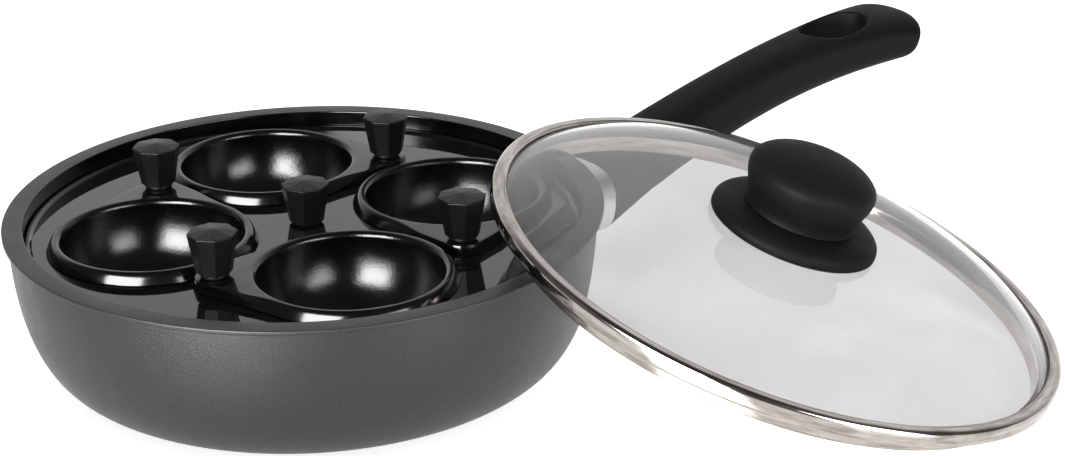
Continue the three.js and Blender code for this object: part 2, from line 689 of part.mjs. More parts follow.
function lidParts() {
  const group = new THREE.Group();
  const insertBottom = skirtTop + SEAT_GAP;
  const insert = ring(
    LID_SCREW_RADIUS + SEAT_GAP, INSERT_RADIUS, insertBottom, insertBottom + INSERT_LENGTH, SMALL_ROUND,
  );
  const gasket = ring(
    GLASS_HOLE_RADIUS, GASKET_RADIUS, gasketBottom, gasketTop, MEDIUM_ROUND,
  );
  const washerTop = domeHeight(LID_WASHER_RADIUS) - GLASS - SEAT_GAP;
  const washer = ring(
    LID_SCREW_RADIUS + SEAT_GAP, LID_WASHER_RADIUS, washerTop - LID_WASHER_THICKNESS, washerTop, MEDIUM_ROUND,
  );
  const headTop = washerTop - LID_WASHER_THICKNESS - SEAT_GAP;
  const shank = insertBottom + INSERT_LENGTH - headTop;
  const screw = headedPin(LID_SCREW_HEAD_RADIUS, LID_SCREW_HEAD_HEIGHT, LID_SCREW_RADIUS, shank);
  group.add(toMesh('lid_band', lidBand(), finishes.steel));
  group.add(toMesh('lid_glass', lidGlass(), finishes.glass));
  group.add(toMesh('lid_gasket', gasket, finishes.silicone));
  group.add(toMesh('lid_knob_skirt', lidKnobSkirt(), finishes.plastic));
  group.add(toMesh('lid_knob_top', lidKnobTop(), finishes.plastic));
  group.add(toMesh('lid_knob_insert', insert, finishes.brass));
  group.add(toMesh('lid_knob_washer', washer, finishes.steel));
  group.add(toMesh('lid_knob_screw', screw.translate([0, 0, headTop]), finishes.steel));
  return group;
}

// Where the lid rests at a lean: its skirt's lowest point just off the floor
function lidPlace(lean) {
  const height = SEAT_GAP + BAND_DROP * Math.cos(lean) + skirtRadius * Math.sin(lean);
  const reach = rimRadius + bandRadius * Math.cos(lean) - LID_OVERLAP;
  const [x, y] = platePosition(reach, LID_BEARING);
  return new THREE.Vector3(x, y, height);
}

function lidTurn(lean) {
  const bearing = new THREE.Quaternion().setFromAxisAngle(new THREE.Vector3(0, 0, 1), rad(LEAN_BEARING));
  const tilt = new THREE.Quaternion().setFromAxisAngle(new THREE.Vector3(0, 1, 0), lean);
  return bearing.multiply(tilt);
}

// Least height of the skirt's lower edge over the pan's rim at a lean
function rimClearance(lean) {
  const place = lidPlace(lean);
  const turn = lidTurn(lean);
  let least = Infinity;
  for (let i = 0; i < RIM_SAMPLES; i += 1) {
    const angle = (2 * Math.PI * i) / RIM_SAMPLES;
    const p = new THREE.Vector3(skirtRadius * Math.cos(angle), skirtRadius * Math.sin(angle), -BAND_DROP);
    p.applyQuaternion(turn).add(place);
    const out = Math.hypot(p.x, p.y);
    if (out > boreRadius && out < rimRadius) {
      least = Math.min(least, p.z - PAN_HEIGHT);
    }
  }
  return least;
}

// Lean at which the lid touches the floor and the rim together
function restingLean() {
  let low = rad(LEAST_LEAN);
  let high = rad(MOST_LEAN);
  for (let i = 0; i < LEAN_TRIES; i += 1) {
    const middle = (low + high) / 2;
    if (rimClearance(middle) < SEAT_GAP) {
      low = middle;
    } else {
      high = middle;
    }
  }
  return high;
}

function lidAssembly() {
  const group = lidParts();
  const lean = restingLean();
  group.position.copy(lidPlace(lean));
  group.quaternion.copy(lidTurn(lean));
  return group;
}

const eggPan = new THREE.Group();
eggPan.add(toMesh('pan_body', panBody(), finishes.coating));
eggPan.add(handleAssembly());
eggPan.add(poacher());
eggPan.add(lidAssembly());

export default eggPan;
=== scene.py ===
"""Dressed model of an egg pan: pan and handle, poaching plate, four lift-out cups and a leaning glass lid."""

import logging
import math
from collections.abc import Iterable, Sequence
from dataclasses import dataclass, field
from enum import Enum

import bmesh
import bpy
from bmesh.types import BMEdge, BMesh, BMVert
from mathutils import Matrix, Vector


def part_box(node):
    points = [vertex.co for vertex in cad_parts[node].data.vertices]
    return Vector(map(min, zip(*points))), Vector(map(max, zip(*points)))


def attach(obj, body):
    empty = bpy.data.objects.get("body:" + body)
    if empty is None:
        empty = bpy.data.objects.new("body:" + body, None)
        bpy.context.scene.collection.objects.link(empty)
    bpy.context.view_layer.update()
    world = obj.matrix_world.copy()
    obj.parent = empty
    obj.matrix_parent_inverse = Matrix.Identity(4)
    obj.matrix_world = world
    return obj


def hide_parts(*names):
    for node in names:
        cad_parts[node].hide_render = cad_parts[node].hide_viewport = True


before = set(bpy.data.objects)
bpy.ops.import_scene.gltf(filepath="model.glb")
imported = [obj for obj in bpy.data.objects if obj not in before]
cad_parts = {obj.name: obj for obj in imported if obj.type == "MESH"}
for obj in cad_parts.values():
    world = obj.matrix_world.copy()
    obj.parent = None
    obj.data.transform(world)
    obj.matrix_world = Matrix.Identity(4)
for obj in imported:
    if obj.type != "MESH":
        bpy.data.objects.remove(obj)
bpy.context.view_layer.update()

LOG = logging.getLogger("egg_pan")
MM = 0.001

Shade = tuple[float, float, float, float]
Point = tuple[float, float]


class Fineness(Enum):
    """Steps round the axis of a turned piece."""

    LARGE = 288
    MEDIUM = 160
    SMALL = 40
    EIGHT_SIDED = 8


class Effect(Enum):
    """Surface effects that several finishes share, each one a node group."""

    GRAIN = "fine_grain"
    FLECKS = "coating_flecks"
    # Polish marks together with painted reflection bands: rings of darker and lighter shade that run round a turned
    # piece.
    STREAKS = "polish_streaks"
    SMEARS = "handling_smears"


class Shine(Enum):
    """What a lamp lights: mirror-like reflections, or the even spread of light."""

    REFLECTED = "reflected"
    SPREAD = "spread"


def grey(level: float, warmth: float = 0.0) -> Shade:
    """A grey of that linear level, warmer above 0 and cooler below it."""
    return (level * (1 + warmth), level, level * (1 - warmth), 1.0)


class Sketch:
    """Short calls that add nodes to one node tree."""

    def __init__(self, tree: bpy.types.NodeTree) -> None:
        """Starts on a tree.

        Args:
            tree: The tree that takes the nodes.
        """
        self.tree = tree

    def node(self, kind: str, values: dict | None = None, **settings: object) -> bpy.types.Node:
        """Adds a node.

        Args:
            kind: The node's type name.
            values: Socket names with a plain value, or with the output socket to link.
            settings: The node's own properties.

        Returns:
            The new node.
        """
        made = self.tree.nodes.new(kind)
        for name, setting in settings.items():
            setattr(made, name, setting)
        for name, value in (values or {}).items():
            socket = made.inputs[name]
            if isinstance(value, bpy.types.NodeSocket):
                self.tree.links.new(value, socket)
            else:
                socket.default_value = value
        return made

    def math(self, operation: str, *values: object) -> bpy.types.NodeSocket:
        """Adds a Math node and returns its output."""
        return self.node("ShaderNodeMath", dict(enumerate(values)), operation=operation).outputs[0]

    def spread(self, value: bpy.types.NodeSocket, low: Point, high: Point) -> bpy.types.NodeSocket:
        """Maps a value from one range to another.

        Args:
            value: The socket to map.
            low: The lower ends, before and after.
            high: The upper ends, before and after.

        Returns:
            The mapped value's socket.
        """
        values = {"Value": value, "From Min": low[0], "From Max": high[0], "To Min": low[1], "To Max": high[1]}
        return self.node("ShaderNodeMapRange", values).outputs["Result"]

    def effect(self, effect: Effect, coords: bpy.types.NodeSocket, size: float) -> bpy.types.NodeSocket:
        """Places a shared effect.

        Args:
            effect: Which effect.
            coords: The coordinates that it follows.
            size: The size of its marks in millimetres.

        Returns:
            The effect's mask.
        """
        values = {"Vector": coords, "Size": size}
        return self.node("ShaderNodeGroup", values, node_tree=effect_tree(effect)).outputs["Mask"]


def effect_tree(effect: Effect) -> bpy.types.NodeTree:
    """Gives an effect's node group, made on its first use.

    Args:
        effect: Which effect.

    Returns:
        The group, which takes a Vector and a Size in millimetres and puts out a Mask from 0 to 1.
    """
    known = bpy.data.node_groups.get(effect.value)
    if known:
        return known
    tree = bpy.data.node_groups.new(effect.value, "ShaderNodeTree")
    tree.interface.new_socket("Vector", in_out="INPUT", socket_type="NodeSocketVector")
    tree.interface.new_socket("Size", in_out="INPUT", socket_type="NodeSocketFloat")
    tree.interface.new_socket("Mask", in_out="OUTPUT", socket_type="NodeSocketFloat")
    sketch = Sketch(tree)
    given = sketch.node("NodeGroupInput").outputs
    scale = sketch.math("DIVIDE", 1 / MM, given["Size"])
    place = given["Vector"]
    if effect is Effect.GRAIN:
        noise = sketch.node("ShaderNodeTexNoise", {"Vector": place, "Scale": scale, "Detail": 3.0, "Roughness": 0.6})
        mask = sketch.spread(noise.outputs[0], (0.28, 0.0), (0.72, 1.0))
    elif effect is Effect.FLECKS:
        cells = sketch.node("ShaderNodeTexVoronoi", {"Vector": place, "Scale": scale})
        pick = sketch.node("ShaderNodeSeparateColor", {"Color": cells.outputs["Color"]})
        bright = sketch.spread(pick.outputs[0], (0.55, 0.0), (1.0, 1.0))
        dot = sketch.spread(cells.outputs["Distance"], (0.15, 1.0), (0.62, 0.0))
        mask = sketch.math("MULTIPLY", bright, dot)
    elif effect is Effect.STREAKS:
        # Rings round the axis that mix two shades: polish marks together with painted reflection bands.
        parts = sketch.node("ShaderNodeSeparateXYZ", {"Vector": place}).outputs
        flat = sketch.node("ShaderNodeCombineXYZ", {"X": parts[0], "Y": parts[1]}).outputs[0]
        radius = sketch.node("ShaderNodeVectorMath", {0: flat}, operation="LENGTH").outputs["Value"]
        across = sketch.math("MULTIPLY", sketch.math("ADD", radius, parts[2]), 8.0)
        drawn = sketch.node("ShaderNodeCombineXYZ", {"X": parts[0], "Y": parts[1], "Z": across}).outputs[0]
        values = {"Vector": drawn, "Scale": scale, "Detail": 4.0, "Roughness": 0.6}
        mask = sketch.spread(sketch.node("ShaderNodeTexNoise", values).outputs[0], (0.36, 0.0), (0.64, 1.0))
    else:
        values = {"Vector": place, "Scale": scale, "Detail": 5.0, "Roughness": 0.55, "Distortion": 0.8}
        noise = sketch.node("ShaderNodeTexNoise", values)
        mask = sketch.spread(noise.outputs[0], (0.35, 0.0), (0.68, 1.0))
    sketch.node("NodeGroupOutput", {"Mask": mask})
    return tree


@dataclass(frozen=True)
class Finish:
    """A surface finish: two shades mixed by a pattern, a range of roughness and a fine relief.

    Attributes:
        name: The material's name.
        slot: The record's material slot; not used.
        shades: The two shades that the pattern mixes.
        pattern: The effect that mixes them.
        pattern_size: The pattern's size in millimetres.
        roughness: The roughness where smears are absent and where they are full.
        smear_size: The smears' size in millimetres.
        relief: The height of the grain in millimetres.
        grain_size: The grain's size in millimetres.
        constants: Shader sockets that are the same all over the surface.
        place: Where the pattern is centred, and its turn as angles about X, Y and Z.
    """

    name: str
    slot: str
    shades: tuple[Shade, Shade]
    pattern: Effect
    pattern_size: float
    roughness: Point
    smear_size: float = 18.0
    relief: float = 0.01
    grain_size: float = 0.6
    constants: tuple[tuple[str, float], ...] = ()
    place: tuple[tuple[float, ...], tuple[float, ...]] | None = None

    def material(self) -> bpy.types.Material:
        """The finish's material, made on its first use."""
        return bpy.data.materials.get(self.name) or self.build()

    def build(self) -> bpy.types.Material:
        """Makes the node material.

        Returns:
            The new material.
        """
        made = bpy.data.materials.new(self.name)
        made.use_nodes = True
        made.node_tree.nodes.clear()
        sketch = Sketch(made.node_tree)
        coords = sketch.node("ShaderNodeTexCoord").outputs["Object"]
        if self.place:
            values = {"Vector": coords, "Location": self.place[0], "Rotation": self.place[1]}
            coords = sketch.node("ShaderNodeMapping", values, vector_type="TEXTURE").outputs[0]
        pattern = sketch.effect(self.pattern, coords, self.pattern_size)
        smears = sketch.effect(Effect.SMEARS, coords, self.smear_size)
        grain = sketch.effect(Effect.GRAIN, coords, self.grain_size)
        values = {0: pattern, 6: self.shades[0], 7: self.shades[1]}
        mix = sketch.node("ShaderNodeMix", values, data_type="RGBA")
        bump = sketch.node("ShaderNodeBump", {"Height": grain, "Distance": self.relief * MM, "Strength": 1.0})
        surface = sketch.node("ShaderNodeBsdfPrincipled", {
            "Base Color": mix.outputs[2],
            "Roughness": sketch.spread(smears, (0.0, self.roughness[0]), (1.0, self.roughness[1])),
            "Normal": bump.outputs[0],
            **dict(self.constants),
        })
        self.close(sketch, surface)
        return made

    def close(self, sketch: Sketch, surface: bpy.types.Node) -> None:
        """Links the surface to the material's output."""
        sketch.node("ShaderNodeOutputMaterial", {"Surface": surface.outputs[0]})


@dataclass(frozen=True)
class ThinGlass(Finish):
    """Clear glass that lets the studio's light through to what is behind it."""

    def close(self, sketch: Sketch, surface: bpy.types.Node) -> None:
        """Links the surface, with shadow rays let through.

        Args:
            sketch: The material's sketch.
            surface: The glass itself.
        """
        path = sketch.node("ShaderNodeLightPath")
        clear = sketch.node("ShaderNodeBsdfTransparent", {"Color": grey(0.86)})
        values = {0: path.outputs["Is Shadow Ray"], 1: surface.outputs[0], 2: clear.outputs[0]}
        mix = sketch.node("ShaderNodeMixShader", values)
        sketch.node("ShaderNodeOutputMaterial", {"Surface": mix.outputs[0]})


COATING = Finish(
    "metallic_grey_coating", "coating", (grey(0.006), grey(0.026)), Effect.GRAIN, 0.8, (0.4, 0.46),
    relief=0.055, grain_size=0.8, constants=(("Specular IOR Level", 0.46),),
)
PLATE_GLOSS = Finish(
    "gloss_black_plate", "nonstick", (grey(0.005), grey(0.01)), Effect.SMEARS, 9.0, (0.02, 0.05),
    relief=0.002, grain_size=1.6,
)
RIM_GLOSS = Finish(
    "gloss_black_rim", "nonstick", (grey(0.005), grey(0.009)), Effect.SMEARS, 5.0, (0.12, 0.17),
    relief=0.001, grain_size=0.8, constants=(("Specular IOR Level", 0.4),),
)
CUP_GRAIN = Finish(
    "grained_black_cup", "nonstick", (grey(0.005), grey(0.01)), Effect.GRAIN, 0.6, (0.13, 0.18),
    relief=0.028, grain_size=0.7, constants=(("Specular IOR Level", 0.4),),
)
INSIDE_GLOSS = Finish(
    "dark_inside_coating", "coating", (grey(0.003), grey(0.008)), Effect.FLECKS, 0.6, (0.12, 0.2),
    relief=0.005, grain_size=0.6,
)
PLASTIC = Finish(
    "matte_black_plastic", "plastic", (grey(0.009), grey(0.014)), Effect.GRAIN, 0.5, (0.55, 0.65),
    relief=0.015, grain_size=0.45, constants=(("Specular IOR Level", 0.07),),
)
KNOB_PLASTIC = Finish(
    "satin_black_knob", "plastic", (grey(0.008), grey(0.016)), Effect.GRAIN, 0.5, (0.36, 0.46),
    relief=0.012, grain_size=0.45, constants=(("Specular IOR Level", 0.16),),
)
BLACK_STEEL = Finish(
    "blackened_steel", "steel", (grey(0.004), grey(0.01)), Effect.GRAIN, 0.8, (0.4, 0.5),
    relief=0.002, grain_size=0.5, constants=(("Specular IOR Level", 0.15),),
)
STEEL = Finish(
    "turned_steel", "steel", (grey(0.5, 0.07), grey(0.6, 0.06)), Effect.GRAIN, 1.2, (0.24, 0.34),
    relief=0.002, grain_size=0.5, constants=(("Metallic", 1.0),),
)
GUARD_METAL = Finish(
    "satin_guard_metal", "guard", (grey(0.7), grey(0.82)), Effect.GRAIN, 0.9, (0.28, 0.38),
    relief=0.005, grain_size=0.6, constants=(("Metallic", 1.0),),
)
BRASS = Finish(
    "turned_brass", "brass", ((0.42, 0.27, 0.09, 1.0), (0.52, 0.35, 0.13, 1.0)), Effect.GRAIN, 1.0, (0.25, 0.4),
    relief=0.004, grain_size=0.5, constants=(("Metallic", 1.0),),
)
SILICONE = Finish(
    "pale_silicone", "silicone", (grey(0.5, 0.02), grey(0.62, 0.02)), Effect.SMEARS, 4.0, (0.5, 0.62),
    relief=0.01, grain_size=0.6,
)
GLASS = ThinGlass(
    "clear_lid_glass", "glass", ((0.52, 0.515, 0.52, 1.0), (0.57, 0.565, 0.57, 1.0)), Effect.SMEARS, 60.0,
    (0.0, 0.004), smear_size=25.0, relief=0.001, grain_size=9.0,
    constants=(("Transmission Weight", 0.9), ("IOR", 1.3)),
)
FLOOR = Finish(
    "pale_floor", "", (grey(0.86), grey(0.88)), Effect.SMEARS, 300.0, (0.16, 0.2), smear_size=300.0,
    relief=0.0, grain_size=40.0, constants=(("Emission Strength", 0.82),),
)


def arc(centre: Point, radii: Point, start: float, end: float, steps: int) -> list[Point]:
    """Points along an ellipse's arc.

    Args:
        centre: The ellipse's centre.
        radii: Its half-width and half-height.
        start: The first point's angle in degrees.
        end: The last point's angle in degrees.
        steps: How many steps between them.

    Returns:
        The points, both ends included.
    """
    angles = [math.radians(start + (end - start) * i / steps) for i in range(steps + 1)]
    return [(centre[0] + radii[0] * math.cos(a), centre[1] + radii[1] * math.sin(a)) for a in angles]


def cubic(ends: Sequence[Point], t: float) -> Vector:
    """A point of a cubic curve.

    Args:
        ends: The four control points.
        t: How far along, from 0 to 1.

    Returns:
        The point.
    """
    weights = ((1 - t) ** 3, 3 * t * (1 - t) ** 2, 3 * t * t * (1 - t), t ** 3)
    return sum((Vector(p) * w for p, w in zip(ends, weights)), Vector((0, 0)))


@dataclass
class Outline:
    """Half of a turned piece's section, as corners in millimetres that may each have a fillet.

    Attributes:
        corners: Each corner's radius, height and fillet.
        steps: How many steps a fillet has.
    """

    corners: list[tuple[float, float, float]] = field(default_factory=list)
    steps: int = 5

    def to(self, radius: float, height: float, fillet: float = 0.0) -> "Outline":
        """Adds a corner and returns the outline."""
        self.corners.append((radius, height, fillet))
        return self

    def along(self, points: Iterable[Point]) -> "Outline":
        """Adds a run of plain points and returns the outline."""
        self.corners.extend((radius, height, 0.0) for radius, height in points)
        return self

    def points(self, closed: bool) -> list[Point]:
        """Works out the fillets.

        Args:
            closed: Whether the last corner joins the first.

        Returns:
            The outline's points.
        """
        found: list[Point] = []
        count = len(self.corners)
        for i, (radius, height, fillet) in enumerate(self.corners):
            if not fillet or (not closed and i in (0, count - 1)):
                found.append((radius, height))
                continue
            here = Vector((radius, height))
            before = Vector(self.corners[i - 1][:2]) - here
            after = Vector(self.corners[(i + 1) % count][:2]) - here
            half = before.angle(after) / 2
            reach = min(fillet / math.tan(half), 0.49 * before.length, 0.49 * after.length)
            size = reach * math.tan(half)
            centre = here + (before.normalized() + after.normalized()).normalized() * (size / math.sin(half))
            first = here + before.normalized() * reach - centre
            turn = first.angle_signed(here + after.normalized() * reach - centre)
            angle = math.atan2(first.y, first.x)
            sweep = arc(tuple(centre), (size, size), math.degrees(angle), math.degrees(angle - turn), self.steps)
            found.extend(sweep)
        return found


def turned(outline: Outline, fineness: Fineness, closed: bool = False) -> BMesh:
    """Spins an outline about Z.

    Args:
        outline: The half section.
        fineness: The steps round the axis.
        closed: Whether the outline is a loop that stays clear of the axis.

    Returns:
        The turned mesh, in metres.
    """
    mesh = bmesh.new()
    verts = [mesh.verts.new((radius * MM, 0, height * MM)) for radius, height in outline.points(closed)]
    edges = [mesh.edges.new(pair) for pair in zip(verts, verts[1:])]
    if closed:
        edges.append(mesh.edges.new((verts[-1], verts[0])))
    bmesh.ops.spin(
        mesh, geom=verts + edges, cent=(0, 0, 0), axis=(0, 0, 1), angle=2 * math.pi,
        steps=fineness.value, use_merge=True,
    )
    clean(mesh)
    return mesh


def clean(mesh: BMesh) -> None:
    """Merges a mesh's doubles and turns its faces outwards.

    Args:
        mesh: The mesh.
    """
    bmesh.ops.remove_doubles(mesh, verts=mesh.verts, dist=1e-6)
    bmesh.ops.dissolve_degenerate(mesh, edges=mesh.edges, dist=1e-7)
    bmesh.ops.recalc_face_normals(mesh, faces=mesh.faces)


def moved(mesh: BMesh, matrix: Matrix) -> BMesh:
    """Moves a whole mesh and returns it."""
    bmesh.ops.transform(mesh, matrix=matrix, space=Matrix.Identity(4), verts=mesh.verts)
    return mesh


def block(size: tuple[float, float, float], place: Matrix) -> BMesh:
    """Makes an oblong block.

    Args:
        size: Its sides in millimetres.
        place: Where its middle goes.

    Returns:
        The block's mesh.
    """
    mesh = bmesh.new()
    bmesh.ops.create_cube(mesh, size=1.0)
    return moved(mesh, place @ Matrix.Diagonal((*(side * MM for side in size), 1)))


def rounded(mesh: BMesh, size: float, least: float, segments: int = 3) -> None:
    """Rounds a mesh's sharp edges.

    Args:
        mesh: The mesh.
        size: The rounding in millimetres.
        least: The least angle in degrees between two faces that is rounded.
        segments: Steps across the rounding.
    """
    edges = [edge for edge in mesh.edges if edge.calc_face_angle(0.0) > math.radians(least)]
    bmesh.ops.bevel(
        mesh, geom=edges, offset=size * MM, segments=segments, profile=0.5, affect="EDGES",
        clamp_overlap=True, material=-1,
    )


def pushed(mesh: BMesh, edges: Sequence[BMEdge], matrix: Matrix) -> list[BMEdge]:
    """Extrudes a loop of edges and moves the new loop.

    Args:
        mesh: The mesh.
        edges: The loop.
        matrix: How the new loop moves.

    Returns:
        The new loop's edges.
    """
    made = bmesh.ops.extrude_edge_only(mesh, edges=list(edges))["geom"]
    verts = [item for item in made if isinstance(item, BMVert)]
    bmesh.ops.transform(mesh, matrix=matrix, space=Matrix.Identity(4), verts=verts)
    chosen = set(verts)
    return [item for item in made if isinstance(item, BMEdge) and chosen.issuperset(item.verts)]


def lofted(stations: Sequence[Matrix], facets: int, fullness: float) -> BMesh:
    """Skins a run of rounded oblong sections.

    Args:
        stations: Each section's place and half-sizes, on a unit section in the XY plane.
        facets: Points round a section.
        fullness: The section's squareness, where 2 is an ellipse.

    Returns:
        The skin, capped at both ends.
    """
    mesh = bmesh.new()
    bmesh.ops.create_circle(mesh, cap_ends=False, segments=facets, radius=1.0)
    for vert in mesh.verts:
        x, y = (math.copysign(abs(c) ** (2 / fullness), c) for c in vert.co.xy)
        vert.co = (x, y, 0)
    moved(mesh, stations[0])
    loop = list(mesh.edges)
    first = loop
    for before, after in zip(stations, stations[1:]):
        loop = pushed(mesh, loop, after @ before.inverted())
    bmesh.ops.edgeloop_fill(mesh, edges=first)
    bmesh.ops.edgeloop_fill(mesh, edges=loop)
    clean(mesh)
    return mesh


def loose_object(mesh: BMesh, name: str) -> bpy.types.Object:
    """Makes an object of a mesh.

    Args:
        mesh: The mesh, which is used up.
        name: The object's name.

    Returns:
        The object, in the scene.
    """
    data = bpy.data.meshes.new(name)
    mesh.to_mesh(data)
    mesh.free()
    made = bpy.data.objects.new(name, data)
    bpy.context.scene.collection.objects.link(made)
    return made


def settled(made: bpy.types.Object, *tools: bpy.types.Object) -> BMesh:
    """Applies an object's modifiers and removes it with the tools that cut it.

    Args:
        made: The object.
        tools: Objects that are used up.

    Returns:
        The finished mesh.
    """
    graph = bpy.context.evaluated_depsgraph_get()
    mesh = bmesh.new()
    mesh.from_object(made, graph)
    for used in (made, *tools):
        bpy.data.objects.remove(used)
    return mesh


def cut(mesh: BMesh, *tools: BMesh) -> BMesh:
    """Cuts meshes out of a mesh.

    Args:
        mesh: What is cut.
        tools: What is taken away.

    Returns:
        The cut mesh.
    """
    made = loose_object(mesh, "blank")
    cutters = [loose_object(tool, "cutter") for tool in tools]
    for cutter in cutters:
        modifier = made.modifiers.new("cut", "BOOLEAN")
        modifier.operation = "DIFFERENCE"
        modifier.solver = "EXACT"
        modifier.object = cutter
    result = settled(made, *cutters)
    clean(result)
    return result


@dataclass
class SubAssembly:
    """Pieces that ride on one body.

    Attributes:
        body: The body's name.
    """

    body: str = ""

    def add(
        self, mesh: BMesh, node: str, *finishes: Finish, place: Matrix | None = None, sharp: float = 32.0,
        flat: float = math.inf,
    ) -> bpy.types.Object:
        """Makes a finished piece that stands for a node.

        Args:
            mesh: The piece's mesh, which is used up.
            node: The node that it stands for.
            finishes: Its finishes, by the faces' material index.
            place: Where it goes, if it isn't in place.
            sharp: The least angle in degrees that stays a crisp edge.
            flat: The least area in square millimetres of a face that stays flat.

        Returns:
            The piece.
        """
        if place is not None:
            moved(mesh, place)
        for face in mesh.faces:
            face.smooth = face.calc_area() < flat * MM * MM
        for edge in mesh.edges:
            edge.smooth = edge.calc_face_angle(0.0) < math.radians(sharp)
        triangles = sum(len(face.verts) - 2 for face in mesh.faces)
        piece = loose_object(mesh, f"{node}_surface")
        for finish in finishes:
            piece.data.materials.append(finish.material())
        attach(piece, self.body)
        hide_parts(node)
        LOG.info("%s on %s: %d triangles", piece.name, self.body, triangles)
        return piece

    def dress(self, node: str, finish: Finish) -> None:
        """Gives a node that stays as it is its finish.

        Args:
            node: The node.
            finish: Its finish.
        """
        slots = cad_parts[node].data.materials
        slots.clear()
        slots.append(finish.material())
        LOG.info("%s keeps its solid", node)


@dataclass
class Fastener(SubAssembly):
    """A screw with a domed, cross-slotted head below its sheet, and its washer.

    Attributes:
        head: The head's radius and height.
        shank: The shank's radius and length above the head.
        slot: The cross's length, width and depth.
        washer: The washer's inner radius, outer radius and thickness.
    """

    head: Point = (2.9, 0.85)
    shank: Point = (1.5, 10.0)
    slot: tuple[float, float, float] = (2.7, 0.7, 0.55)
    washer: tuple[float, float, float] = (1.75, 4.8, 0.5)

    def add_screw(self, node: str, place: Matrix) -> None:
        """Adds the screw.

        Args:
            node: The node that it stands for.
            place: The top of its head, with the shank along +Z.
        """
        outline = Outline().to(0, -self.head[1]).to(self.head[0] * 0.72, -self.head[1], self.head[1] * 0.7)
        outline.to(self.head[0], -self.head[1] * 0.55, 0.25).to(self.head[0], 0, 0.12).to(self.shank[0], 0)
        outline.to(self.shank[0], self.shank[1], 0.4).to(0, self.shank[1])
        length, width, depth = self.slot
        bottom = Matrix.Translation((0, 0, -self.head[1] * MM))
        places = [bottom @ Matrix.Rotation(math.radians(turn), 4, "Z") for turn in (0.0, 90.0)]
        tools = [block((length, width, 2 * depth), turned_place) for turned_place in places]
        self.add(cut(turned(outline, Fineness.SMALL), *tools), node, STEEL, place=place)

    def add_washer(self, node: str, place: Matrix) -> None:
        """Adds the washer.

        Args:
            node: The node that it stands for.
            place: The middle of its lower face.
        """
        inner, outer, thickness = self.washer
        edge = thickness * 0.3
        outline = Outline(steps=3).to(inner, 0, edge).to(outer, 0, edge)
        outline.to(outer, thickness, edge).to(inner, thickness, edge)
        self.add(turned(outline, Fineness.SMALL, closed=True), node, BLACK_STEEL, place=place)


@dataclass
class SidedKnob(SubAssembly):
    """A flared eight-sided knob with its washer and screw.

    Attributes:
        foot: The foot's corner radius.
        top: The top's corner radius.
        flare: The flare's height.
        edge: The height of the upright edge above the flare.
        peak: The rise of the top's middle.
        softness: The rounding of its edges.
        bore: The bore's corner radius and depth.
        grip: How far the screw reaches into it.
        spacer: The washer's thickness.
        seat: The gap under and over the washer.
    """

    foot: float = 6.2
    top: float = 8.5
    flare: float = 13.5
    edge: float = 0.6
    peak: float = 1.2
    softness: float = 0.3
    bore: Point = (1.9, 8.5)
    grip: float = 8.0
    spacer: float = 0.5
    seat: float = 0.125

    def build(self, name: str, place: Matrix, sheet: float) -> None:
        """Builds the knob on a sheet.

        Args:
            name: The knob's node.
            place: The spot on the sheet's top that it stands on.
            sheet: The sheet's thickness.
        """
        bottom = 2 * self.seat + self.spacer
        shank = (Fastener.shank[0], sheet + self.seat + bottom + self.grip)
        screw = Fastener(self.body, shank=shank, washer=(*Fastener.washer[:2], self.spacer))
        screw.add_washer(f"{name}_washer", place @ Matrix.Translation((0, 0, self.seat * MM)))
        screw.add_screw(f"{name}_screw", place @ Matrix.Translation((0, 0, -(sheet + self.seat) * MM)))
        shoulder = self.flare + self.edge
        outline = Outline().to(0, self.bore[1]).to(*self.bore).to(self.bore[0], 0).to(self.foot, 0)
        outline.to(self.top, self.flare).to(self.top, shoulder).to(0, shoulder + self.peak)
        mesh = turned(outline, Fineness.EIGHT_SIDED)
        rounded(mesh, self.softness, 5.0)
        lift = Matrix.Translation((0, 0, bottom * MM))
        self.add(mesh, name, KNOB_PLASTIC, place=place @ lift, sharp=50.0, flat=4.0)


